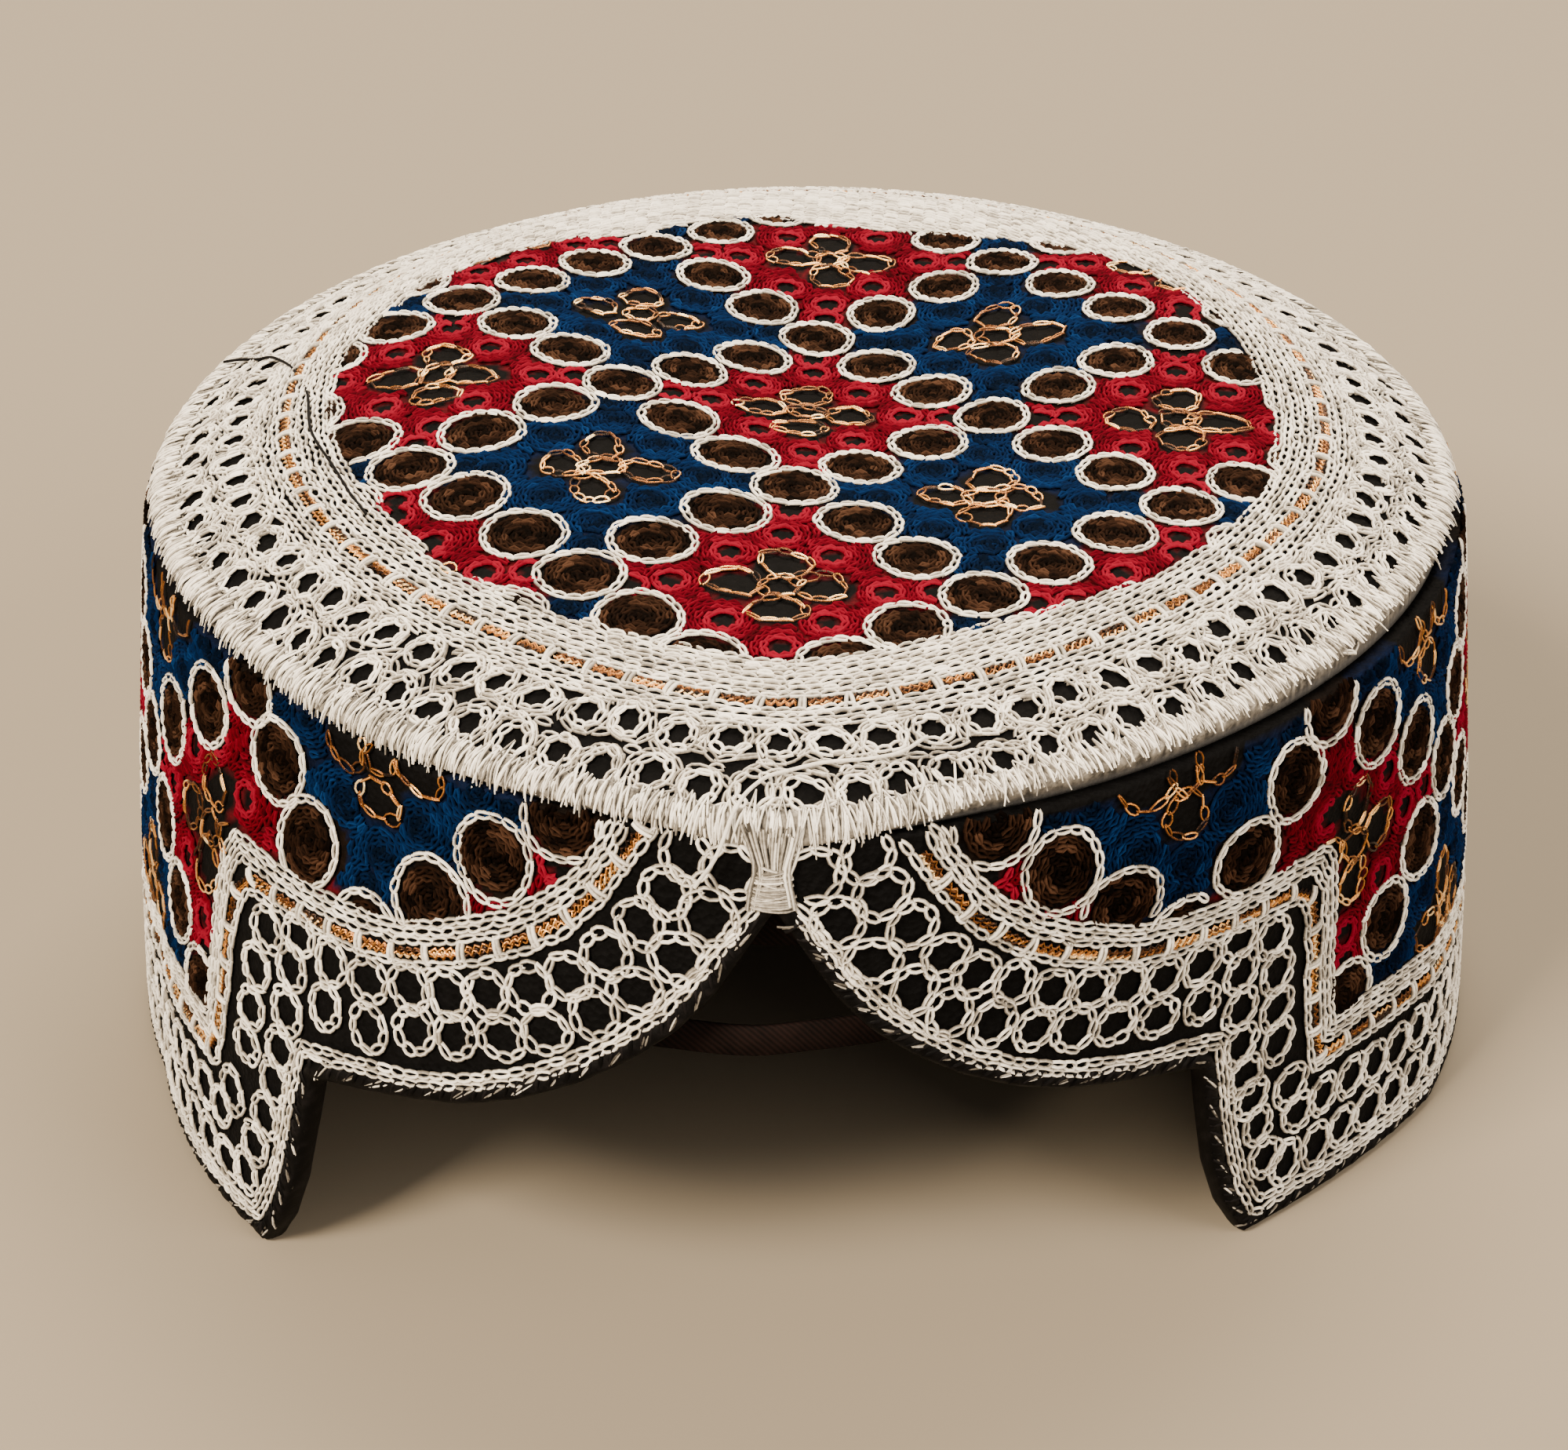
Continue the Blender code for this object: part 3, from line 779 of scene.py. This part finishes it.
def raised_edge(s, reach):
    """The height that is clear of the band's lower edge by a reach in every direction."""
    lift = np.sqrt(np.maximum(reach ** 2 - (EDGE_S[None] - s[:, None]) ** 2, 0))
    near = np.abs(EDGE_S[None] - s[:, None]) < reach
    high = np.where(near, EDGE_Z[None] + lift, -1).max(1)
    return np.where(np.abs(s) > 76, reach, high)


def band_columns(step):
    """Ways round the cap, closer together at the ears' steep edges."""
    far = np.arange(70.0, HALF_ROUND - step / 2, step)
    near = np.concatenate([np.arange(0.0, 55.0, step), np.arange(55.0, 70.0, step / 3)])
    half = np.concatenate([near, far])
    return np.concatenate([-half[::-1], half[1:], [HALF_ROUND]])


def build_band_cloth():
    s = band_columns(1.6)
    low = raised_edge(s, 2.2)
    rows, tints = [], []
    for z in between(low, np.full(len(s), CLOTH_TOP), np.linspace(0, 1, 48)).T:
        here, normal = wall(s, z)
        rows.append(here - normal * CLOTH_SINK)
        tints.append(CLOTH[np.where(near_any(s, z, BAND_EYES, EYE_GROUND), BLACK, band_region(s, z))])
    for z in between(low, np.full(len(s), CLOTH_TOP), np.linspace(1, 0, 6)).T:
        rows.append(side_points(s, z, 3.0))
        tints.append(np.tile(CLOTH[BLACK], (len(s), 1)))
    piece = make_skin("band_cloth", rows, CLOTHS, "side_wall", tint=np.concatenate(tints))


def crown_rings(count, insets, shares=()):
    """Rings on the crown's plan: at insets from the seam, then shrunk from the gold row towards the middle."""
    s = round_steps(count)
    return [inset_plan(s, inset) for inset in insets] + [inset_plan(s, GOLD_INSET) * share for share in shares]


def under_crown(ring, down):
    here, normal = crown(ring[:, 0], ring[:, 1])
    return here - normal * down


def build_crown_cloth():
    rows, tints = [], []
    for ring in crown_rings(288, np.arange(2.6, GOLD_INSET, 1.5), np.linspace(1, 0.012, 50)):
        rows.append(under_crown(ring, CLOTH_SINK))
        x, y = ring.T
        tints.append(CLOTH[np.where(near_any(x, y, CROWN_EYES, EYE_GROUND), BLACK, crown_region(x, y))])
    for ring in reversed(crown_rings(288, (3.2, 5.5, 9.0, 14.0), np.linspace(1, 0.012, 8))):
        rows.append(under_crown(ring, 2.8))
        tints.append(np.tile(CLOTH[BLACK], (len(ring), 1)))
    piece = make_skin("crown_cloth", rows, CLOTHS, "crown", tint=np.concatenate(tints))


def build_fields(part, surface, slot, cells, spots, is_red, in_cell, region, keep, squash=(1.0, 1.0)):
    """Each field's swirls, red or blue, and its gold flower."""
    reds, blues, gold = Stitches(surface), Stitches(surface), Stitches(surface)
    for cell, centre in cells.items():
        kind = RED if is_red(cell) else BLUE

        def allowed(x, y, cell=cell, kind=kind):
            return in_cell(cell, x, y) & (region(x, y) == kind)

        if kind == RED:
            swirls(reds, spots[cell], allowed, first=2.1, tones=(1.0, 0.6, 0.45), width=1.15)
        else:
            swirls(blues, spots[cell], allowed, first=0.8, tones=(0.05, 0.2, 0.55), width=1.2)
        flower(gold, centre, keep, squash)
    reds.piece(part + "_red_stitches", REDS, slot)
    blues.piece(part + "_blue_stitches", BLUES, slot)
    gold.piece(part + "_flowers", GOLDS, slot)


def build_ovals(part, surface, slot, centres, grow, keep, rough):
    """Brown ovals, each in a white ring of chain."""
    brown, white = Stitches(surface), Stitches(surface)
    spirals(brown, centres, grow, keep)
    loops(white, centres, OUTLINE * grow, 17, rough, keep, width=1.15, radius=0.23, lift=0.15, tone=0.75)
    brown.piece(part + "_brown_ovals", BROWNS, slot)
    white.piece(part + "_oval_outlines", WHITE, slot)


def in_field(x, y):
    return sampled(INSET, x, y) > field_edge(x, y)


def build_crown_fields():
    build_fields("crown", crown, "crown", CROWN_CELLS, CROWN_SPOTS, crown_is_red, in_crown_cell, crown_region,
                 in_field)


def flower(stitches, centre, keep, squash):
    """A ring of gold chain and four petals round it, set a little unevenly."""
    for index, (px, py, rx, ry) in enumerate([(0.0, 0.0, 2.3, 2.3), *PETALS]):
        shift = RNG.normal(0, 0.4, 2) if index else np.zeros(2)
        at = np.array(centre) + (np.array([px, py]) + shift) * squash
        size = np.array([[rx * squash[0], ry * squash[1]]]) * (1 + RNG.normal(0, 0.09, 2))
        loops(stitches, at[None], size, 10 if index else 8, 0.2, keep, width=0.9, radius=0.14, lift=0.25,
              tone=0.6, spread=0.7, vary=0.35)


def crown_ovals():
    halves = np.arange(-8, 8) + 0.5
    u, w = np.array([(u, w) for u in halves for w in halves if is_oval(u, w)]).T
    x, y = lattice_to_crown(u, w)
    return np.stack([x, y], -1)[sampled(INSET, x, y) > OVALS_FROM]


def build_crown_ovals():
    centres = crown_ovals()
    centres += RNG.normal(0, 0.2, centres.shape)
    grow = np.interp(centres[:, :1], (-50, 0, 45), (1.03, 1.0, 0.93)) * (1 + RNG.normal(0, 0.02, centres.shape))
    grow *= np.interp(centres[:, 1:], (-60, -20, 20, 60), (1.02, 0.98, 0.92, 0.86))
    build_ovals("crown", crown, "crown", centres, grow, in_field, 0.05)


def build_crown_rows():
    white, gold = Stitches(crown), Stitches(crown)
    for inset in CROWN_ROWS:
        def outside(x, y, inset=inset):
            return field_edge(x, y) > inset - 0.3

        chain_row(white, plan_ring(inset), outside, width=1.3, radius=0.25, tone=0.7)
    gold_row(white, gold, plan_ring(GOLD_INSET), 5.3, everywhere)
    white.piece("crown_white_rows", WHITE, "crown")
    gold.piece("crown_gold_dashes", GOLDS, "crown")


def gold_row(white, gold, path, pitch, keep):
    """Dashes of crinkled gold thread with white ties between them."""
    ends = resampled(path, pitch, gold.surface)
    ok = keep(ends[:-1, 0], ends[:-1, 1])
    a, b = ends[:-1][ok], ends[1:][ok]
    n = len(a)
    run = between(a, b, np.linspace(0.13, 0.86, 11))
    for part in range(4):
        phase = RNG.uniform(0, 6.28, (n, 1)) + 2.1 * np.arange(11)[None]
        off = 0.30 * np.sin(phase) + 0.27 * (part - 1.5)
        lift = 0.22 + 0.16 * np.cos(phase) + RNG.uniform(0, 0.08, (n, 1))
        gold.strands(run, lift, 0.14 + RNG.uniform(0, 0.06, (n, 1)), 0.5 + RNG.normal(0, 0.4, n), off=off)
    along = unit(b - a)
    across = np.stack([-along[:, 1], along[:, 0]], -1)
    for place in (0.94, 1.05):
        middle = a + (b - a) * (place + RNG.normal(0, 0.015, (n, 1)))
        reach = (across + along * RNG.normal(0, 0.12, (n, 1)))[:, None] * np.linspace(-TIE, TIE, 5)[:, None]
        white.strands(middle[:, None] + reach, np.array([0.05, 0.4, 0.5, 0.4, 0.05]), 0.29,
                      0.6 + RNG.normal(0, 0.1, n), section=ROUND)


def build_rim_eyelets():
    """Two staggered rows of rings, each sewn round twice, with loose rows that fill the gaps between them."""
    white = Stitches(crown)
    holes = []
    for inset, phase, dip in ((11.8, 0.0, 0.0), (5.9, 0.5, 1.3)):
        centres = resampled(plan_ring(inset, dip), 5.9, crown)[:-1]
        centres += (np.roll(centres, -1, 0) - centres) * phase + RNG.normal(0, 0.28, centres.shape)
        n = len(centres)
        size = 2.2 * (1 + RNG.normal(0, 0.08, (n, 2)))
        loops(white, centres, size, 8, 0.12, width=1.25, radius=0.24, tone=0.75, lift=0.12, spread=0.25)
        loops(white, centres + RNG.normal(0, 0.35, (n, 2)), size + 0.85, 9, 0.2, width=1.15, radius=0.21,
              tone=0.55, spread=0.3)
        holes.append(centres)
    holes = np.concatenate(holes)

    def clear(x, y):
        bare = np.exp(-((x + 22) / 40) ** 2) * (y < 0)
        return ~near_any(x, y, holes, 2.1) & (RNG.uniform(0, 1, np.shape(x)) > 0.2 + 0.55 * bare)

    for inset in RIM_FILLERS:
        chain_row(white, plan_ring(inset), clear, wobble=0.38, width=1.3, radius=0.23, tone=0.6)
    white.piece("rim_eyelets", WHITE, "crown")


def in_band_field(s, z):
    return above_border(s, z, FIELD_WAY) & (z < ROWS_TOP)


def build_band_fields():
    build_fields("band", wall, "side_wall", BAND_CELLS, BAND_SPOTS, band_is_red, in_band_cell, band_region,
                 in_band_field, (1.05, 1.0))


def band_ovals():
    found = {(round(3 * (a + pa)), round(3 * (b + pb))) for a in range(-11, 12) for b in (-1, 0, 1, 2)
             if (a + b) % 2 == 0 for pa, pb in EDGE_OVALS}
    spots = np.array(sorted(found), float) / 3
    spots = spots[(spots[:, 0] > -10.99) & (spots[:, 0] < 11.01)]
    s, z = lattice_to_band(spots[:, 0], spots[:, 1])
    near = (z > 22) & (z < 76) & above_border(s, z + 6, FIELD_WAY)
    return np.stack([s, z], -1)[near]


def build_band_ovals():
    centres = band_ovals()
    centres += RNG.normal(0, 0.2, centres.shape)
    grow = 1.02 + RNG.normal(0, 0.025, centres.shape)
    build_ovals("band", wall, "side_wall", centres, grow, in_band_field, 0.04)


# Rings of the border on the right of the arch: way round and height, in the lower and the upper row
NEAR_RINGS = ((4.6, 68.1), (7.1, 62.1), (11.0, 56.7), (15.8, 52.1), (20.4, 48.4), (25.7, 45.4), (31.2, 43.2),
              (36.8, 41.3), (42.5, 39.9), (48.9, 38.5), (55.8, 37.7), (62.0, 39.8), (62.4, 34.4), (63.1, 29.1),
              (64.1, 23.8),
              (10.1, 69.6), (12.1, 64.9), (15.5, 60.3), (19.2, 56.1), (23.4, 52.6), (28.2, 49.9), (33.3, 47.8),
              (38.6, 46.1), (43.8, 45.0), (49.4, 44.2), (55.4, 43.7), (61.2, 44.9), (67.3, 42.8), (68.3, 37.2),
              (69.0, 31.8), (69.8, 26.4))
RING_LOW = 21.5          # below this height the rings follow the border's own lines


def below_seam(s, z):
    """Everywhere on the band but under the bar tack."""
    return (z < ROWS_TOP) & ~((np.abs(s) < 2.6) & (z > 57))


def build_border():
    rows, rings, gold = Stitches(wall), Stitches(wall), Stitches(wall)
    for way in BORDER_ROWS:
        chain_row(rows, border_line(way), below_seam, width=1.25, radius=0.24, tone=0.7)
    gold_row(rows, gold, border_line(BORDER_GOLD), 5.2, lambda s, z: z < 70.5)
    near = np.array(NEAR_RINGS)
    centres = [near, near * (-1, 1)]
    for way, pitch in ((6.95, 5.5), (13.25, 5.3)):
        far = resampled(border_line(way), pitch, wall)[:-1]
        centres.append(far[(np.abs(far[:, 0]) > 62) & (far[:, 1] < RING_LOW)])
    centres = np.concatenate(centres)
    big = 1 + 0.14 * np.exp(-(centres[:, :1] / 15) ** 2)
    size = 2.7 * big * (1 + RNG.normal(0, 0.05, centres.shape))
    centres += RNG.normal(0, 0.15, centres.shape)
    loops(rings, centres, size, 9, 0.08, below_seam, width=1.4, radius=0.25, tone=0.7, lift=0.05, spread=0.2)
    rows.piece("border_rows", WHITE, "side_wall")
    rings.piece("border_rings", WHITE, "side_wall")
    gold.piece("border_gold_dashes", GOLDS, "side_wall")


def seam_dip(s):
    """How much lower the overcast ends than elsewhere: low at the front and its left, high to its right."""
    right = smooth((s - 14) / 14) * smooth((150 - s) / 40)
    return (2.4 * np.exp(-(s / 15) ** 2) + 1.3 * np.exp(-((s + 48) / 26) ** 2) - 1.0 * right
            - 1.2 * np.exp(-((s - 92) / 30) ** 2))


# Layers of the overcast: pitch, top and bottom on the seam's section, spread, lift, looseness and thickness
OVERCAST = ((0.95, 5.7, 9.2, 0.4, 0.0, 0.35, 0.21), (1.5, 5.2, 9.6, 0.8, 0.1, 0.6, 0.18),
            (2.4, 4.4, 9.7, 1.4, 0.2, 0.9, 0.14))


def teeth(stitches, pitch, top, bottom, spread, lift, loose, thick):
    """Threads in pairs that meet at the top and part towards the seam."""
    count = int(2 * HALF_ROUND / pitch)
    at = round_steps(count) + RNG.normal(0, 0.25 * pitch, count)
    dip = seam_dip(at)
    peak = top + 0.6 * dip + RNG.normal(0, loose, count)
    share = np.linspace(0, 1, 6)
    for side in (-1, 1):
        foot = bottom + dip + RNG.normal(0, 0.25 + 0.3 * loose, count)
        reach = side * np.abs(spread + RNG.normal(0, 0.5 * spread, count))
        path = np.stack([between(at, at + reach, share), between(peak, foot, share)], -1)
        height = lift + 0.14 * np.sin(share * math.pi) + RNG.normal(0, 0.05, (count, 1))
        height -= (0.15 + lift) * share ** 3
        stitches.strands(path, height, thick * np.array([0.7, 0.95, 1.0, 1.0, 0.9, 0.6]),
                         0.7 + RNG.normal(0, 0.2, count))


def build_seam():
    """The roll over the seam, wrapped close with white thread."""
    s = round_steps(1000)
    dip = seam_dip(s)
    rows = []
    for share in np.linspace(0, 1, 8):
        way = 5.6 + dip * 0.6 + (3.5 + dip * 0.4) * share
        here, normal = seam_skin(s, way)
        rows.append(here + normal * (0.10 * np.sin(s * 2 * math.pi / 1.1 + 3 * np.sin(way))[:, None] - 0.1))
    rows.append(side_points(s, np.full(len(s), 71.0), 2.8))
    # Painted shade: the roll's wrapping is coloured dark grey, standing in for the shadow under the overcast
    # threads, and its hidden inner row is painted darkest
    tone = 0.2 + RNG.normal(0, 0.1, len(rows) * len(s))
    tone[-len(s):] = 0
    make_skin("seam_roll_thread", rows, WHITE, "seam_roll", tone=tone)
    close = Stitches(seam_skin)
    for layer in OVERCAST:
        teeth(close, *layer)
    close.piece("seam_overcast", WHITE, "seam_roll")


def build_bar_tack():
    """Close white wrapping that holds the arch's point to the seam."""
    tack = Stitches(wall)
    share = np.linspace(0, 1, 8)
    waist = np.interp(share, (0, 0.5, 1), (1.0, 0.74, 1.25))
    for layer in range(3):
        count = 13 - 2 * layer
        x = np.linspace(-2.5, 2.5, count) + RNG.normal(0, 0.12, count) - TACK_LEFT
        foot, head = 64.2 + RNG.normal(0, 0.2, count), 73.2 + RNG.normal(0, 0.9, count)
        path = np.stack([x[:, None] * waist[None] + 0.12 * np.sin(7 * share[None] + x[:, None]),
                         between(foot, head, share)], -1)
        height = 0.2 + 0.25 * layer + 0.2 * np.sin(share * math.pi)
        tack.strands(path, height, 0.22, 0.55 + RNG.normal(0, 0.15, count))
    z = np.concatenate([np.linspace(64.0, 68.9, 17), np.linspace(64.3, 67.0, 8)])
    half = np.interp(z, (64, 69), (2.75, 2.0)) + RNG.normal(0, 0.12, len(z))
    side = np.linspace(-1, 1, 7)
    path = np.stack([half[:, None] * side[None] - TACK_LEFT,
                     z[:, None] + RNG.normal(0, 0.3, len(z))[:, None] * side[None]], -1)
    height = np.array([0.0, 0.7, 0.95, 1.0, 0.95, 0.7, 0.0]) + 0.1
    tack.strands(path, height, 0.2, 0.5 + RNG.normal(0, 0.15, len(z)))
    tack.piece("arch_bar_tack", WHITE, "seam_roll")


def hem_path():
    """The lower edge all the way round, from the back by the left, the arch and the right."""
    half = np.concatenate([evened(HEM[0], 90), evened(HEM[1], 34)[1:], evened(HEM[2], 240)[1:]])
    return np.concatenate([(half * (-1, 1))[::-1], half[1:-1]])


# The rolled edge's section: steps out from the band's skin and up from the middle of the roll
BINDING = ((-0.15, 0.9), (0.35, 0.2), (0.35, -0.9), (0.0, -1.35), (-0.8, -1.5), (-1.75, -1.5), (-2.5, -1.3),
           (-2.9, -0.8), (-2.9, 0.4), (-2.4, 1.1))
BINDING_STEP, BINDING_MIDDLE, PUFF_PITCH = 0.9, 1.5, 4.6


def build_binding():
    """A rolled black edge, drawn in where the whipping crosses it."""
    edge = hem_path()
    path = resampled(np.concatenate([edge, edge[:1] + (2 * HALF_ROUND, 0)]), BINDING_STEP, wall)[:-1]
    here, normal = wall(path[:, 0], path[:, 1])
    along = np.roll(here, -1, 0) - np.roll(here, 1, 0)
    for _ in range(3):
        along = (np.roll(along, 1, 0) + 2 * along + np.roll(along, -1, 0)) / 4
    into = np.cross(normal, unit(along))
    puff = 1 + 0.35 * np.sin(np.arange(len(path)) * BINDING_STEP * 2 * math.pi / PUFF_PITCH)
    rows = [here + normal * (out * (puff if out > 0 else 1 + 0 * puff))[:, None] + into * (BINDING_MIDDLE + up)
            for out, up in BINDING]
    tone = 0.5 + RNG.normal(0, 0.15, len(rows) * len(path))
    piece = make_skin("hem_binding", rows, BLACKS, "base_binding", tone=tone)
    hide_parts("arch_binding")
    build_whipping("hem_whipping", BLACKS, pitch=1.5, reach=2.3, slant=1.6, radius=0.27, tone=0.8, sides=(0.0,))
    build_whipping("hem_light_ticks", WHITE, pitch=4.4, reach=1.7, slant=3.2, radius=0.14, tone=0.3,
                   sides=(-0.35, 0.0))


def build_whipping(name, material, pitch, reach, slant, radius, tone, sides):
    """Slanting stitches across the bound edge, one at each of the sides of every step."""
    thread = Stitches(wall)
    at = resampled(hem_path(), pitch, wall)[1:-1]
    at = at[~((np.abs(at[:, 0]) < 1.5) & (at[:, 1] > 50))] + RNG.normal(0, 0.12, 2)
    direction = unit(np.gradient(at, axis=0))
    across = np.stack([-direction[:, 1], direction[:, 0]], -1)
    n = len(at)
    share = np.linspace(0.0, 1.0, 5)
    lean = slant * (1 + RNG.normal(0, 0.2, (n, 1)))
    for side in sides:
        far = reach * (1 + RNG.normal(0, 0.1, (n, 1)))
        path = at[:, None] + across[:, None] * (0.25 + (far - 0.25) * share)[..., None] \
            + direction[:, None] * (lean * (share - 0.5) + side + RNG.normal(0, 0.15, (n, 1)))[..., None]
        thread.strands(path, np.array([-0.1, 0.3, 0.42, 0.36, 0.0]), radius, tone + RNG.normal(0, 0.25, n))
    thread.piece(name, material, "base_binding")


def build_side_lining():
    s = band_columns(1.9)
    low = raised_edge(s, 3.4)
    low = np.where(np.abs(s) < 9, np.minimum(low, 57.5), low)
    top = np.full(len(s), LINING_TOP)
    ripple = 0.25 * np.sin(s * 0.31) + 0.18 * np.sin(s * 0.83 + 1)
    rows = []
    shares = np.linspace(0, 1, 20)
    for t, z in zip(shares, between(low, top, shares).T):
        inset = 4.5 + 0.15 * math.sin(3 * math.pi * t) + ripple * math.sin(math.pi * t) * 0.4
        rows.append(side_points(s, z, inset))
    for z in between(low, top, np.linspace(1, 0, 4)).T:
        rows.append(side_points(s, z, 3.7))
    make_skin("side_lining_twill", rows, TWILL, "side_lining", inward=True)


def build_crown_lining():
    rows = [under_crown(ring, 4.0) for ring in crown_rings(240, (5.2, 7.4, 9.0, 11.0, 13.0, 15.5))]
    shares = np.linspace(1, 0.02, 26)
    for share, ring in zip(shares, crown_rings(240, (), shares)):
        rows.append(under_crown(ring, 4.0 + 0.12 * math.sin(share * 21)))
    rows += [under_crown(ring, 3.1) for ring in crown_rings(240, (), (0.02, 0.4, 0.8, 1.0))]
    rows += [under_crown(ring, 3.4) for ring in crown_rings(240, (5.2,))]
    make_skin("crown_lining_twill", rows, TWILL, "crown_lining", inward=True)


# The head tape's section: inset and height
TAPE = ((5.1, 42.9), (5.1, 46.3), (5.35, 46.5), (5.9, 46.4), (6.0, 45.4), (6.0, 43.8), (5.9, 42.9),
        (5.35, 42.75))


def build_head_tape():
    s = round_steps(400)
    droop = 0.18 * np.sin(s * 0.11) + 0.1 * np.sin(s * 0.37)
    rows = [side_points(s, z + droop, inset) for inset, z in TAPE]
    make_skin("head_tape_twill", rows, TWILL, "head_tape", inward=True)


# A dark thread caught on the crown's left and a white one over the seam: place on the cap, in millimetres
DARK_THREAD = ((-79.0, 24.0, 75.6), (-74.7, 20.8, 77.6), (-71.4, 18.5, 79.2), (-67.8, 11.2, 81.1),
               (-63.9, -1.8, 83.0), (-62.0, -11.2, 83.0), (-59.3, -19.1, 82.8), (-55.3, -29.2, 82.5),
               (-51.7, -35.7, 82.3))
WHITE_THREAD = ((16.5, -81.2, 78.2), (13.7, -83.8, 77.8), (8.6, -85.4, 77.6), (3.7, -86.5, 77.5),
                (-1.1, -88.5, 77.0), (-3.2, -90.8, 76.3), (-4.9, -93.6, 74.6), (-6.8, -96.2, 70.6),
                (-8.6, -96.4, 67.0))


def build_loose_thread(name, table, material, radius):
    knots = np.array(table)
    at = np.linspace(0, len(knots) - 1, 8 * len(knots))
    path = at_ways(knots, np.arange(len(knots)), at)
    for _ in range(6):
        path[1:-1] = (path[2:] + 2 * path[1:-1] + path[:-2]) / 4
    path += np.stack([0.25 * np.sin(at * 2.1), 0.25 * np.cos(at * 1.7), 0.1 * np.sin(at * 3.3)], -1)
    path[:, 1] += SHIFT_Y
    along = unit(np.gradient(path, axis=0))
    side = unit(np.cross(along, (0.1, -0.5, 0.86)))
    up = np.cross(side, along)
    turns = np.linspace(0, 2 * math.pi, 7)[:-1]
    rows = np.stack([path + radius * (side * math.cos(a) + up * math.sin(a)) for a in turns], 1)
    faces = ring_faces(len(path), len(turns), closed_rows=False)
    make_piece(name, rows, faces, material, "crown", tone=np.full(len(path) * len(turns), 0.6))


WARM_WHITE = (1.0, 0.86, 0.70)
# Lamps: name, place and aim in metres, size, power and colour
LAMPS = (("key", (-1.8, -2.1, 2.6), (0, 0, 0.05), 1.2, 430.0, (1.0, 0.83, 0.62)),
         ("fill", (2.2, -1.3, 1.5), (0, 0, 0.04), 1.8, 105.0, (1.0, 0.85, 0.68)),
         ("top", (0.2, 1.2, 2.0), (0, 0, 0.05), 1.2, 85.0, (1.0, 0.85, 0.66)))


def build_stage():
    mesh = bpy.data.meshes.new("floor")
    mesh.from_pydata([(-4, -4, 0), (4, -4, 0), (4, 4, 0), (-4, 4, 0)], [], [(0, 1, 2, 3)])
    floor = bpy.data.objects.new("floor", mesh)
    bpy.context.scene.collection.objects.link(floor)
    material, _, shader = start_material("pale_floor", 0.9, 0.3)
    shader.inputs["Base Color"].default_value = (0.205, 0.178, 0.138, 1)
    mesh.materials.append(material)
    for name, place, aim, size, power, colour in LAMPS:
        lamp = bpy.data.lights.new(name, "AREA")
        lamp.size = size
        lamp.energy = power
        lamp.color = colour
        holder = bpy.data.objects.new(name, lamp)
        bpy.context.scene.collection.objects.link(holder)
        holder.location = place
        holder.rotation_euler = (Vector(place) - Vector(aim)).to_track_quat("Z", "Y").to_euler()
    world = bpy.data.worlds.new("studio")
    bpy.context.scene.world = world
    world.use_nodes = True
    sky = world.node_tree.nodes["Background"]
    sky.inputs["Color"].default_value = (*WARM_WHITE, 1)
    sky.inputs["Strength"].default_value = 0.75


def build_camera():
    camera = bpy.data.cameras.new("camera")
    camera.lens = 97.2
    camera.sensor_width = 36.0
    camera.sensor_fit = "HORIZONTAL"
    holder = bpy.data.objects.new("camera", camera)
    bpy.context.scene.collection.objects.link(holder)
    holder.matrix_world = Matrix(((0.99927, -0.01840, 0.03346, 0.0163),
                                  (0.03819, 0.48153, -0.87560, -0.4964),
                                  (0.0, 0.87624, 0.48188, 0.3074),
                                  (0, 0, 0, 1)))
    bpy.context.scene.camera = holder


build_band_cloth()
build_crown_cloth()
build_crown_fields()
build_crown_ovals()
build_crown_rows()
build_rim_eyelets()
build_band_fields()
build_band_ovals()
build_border()
build_seam()
build_bar_tack()
build_binding()
build_side_lining()
build_crown_lining()
build_head_tape()
build_loose_thread("dark_loose_thread", DARK_THREAD, BLACKS, 0.2)
build_loose_thread("white_loose_thread", WHITE_THREAD, WHITE, 0.24)
build_stage()
build_camera()
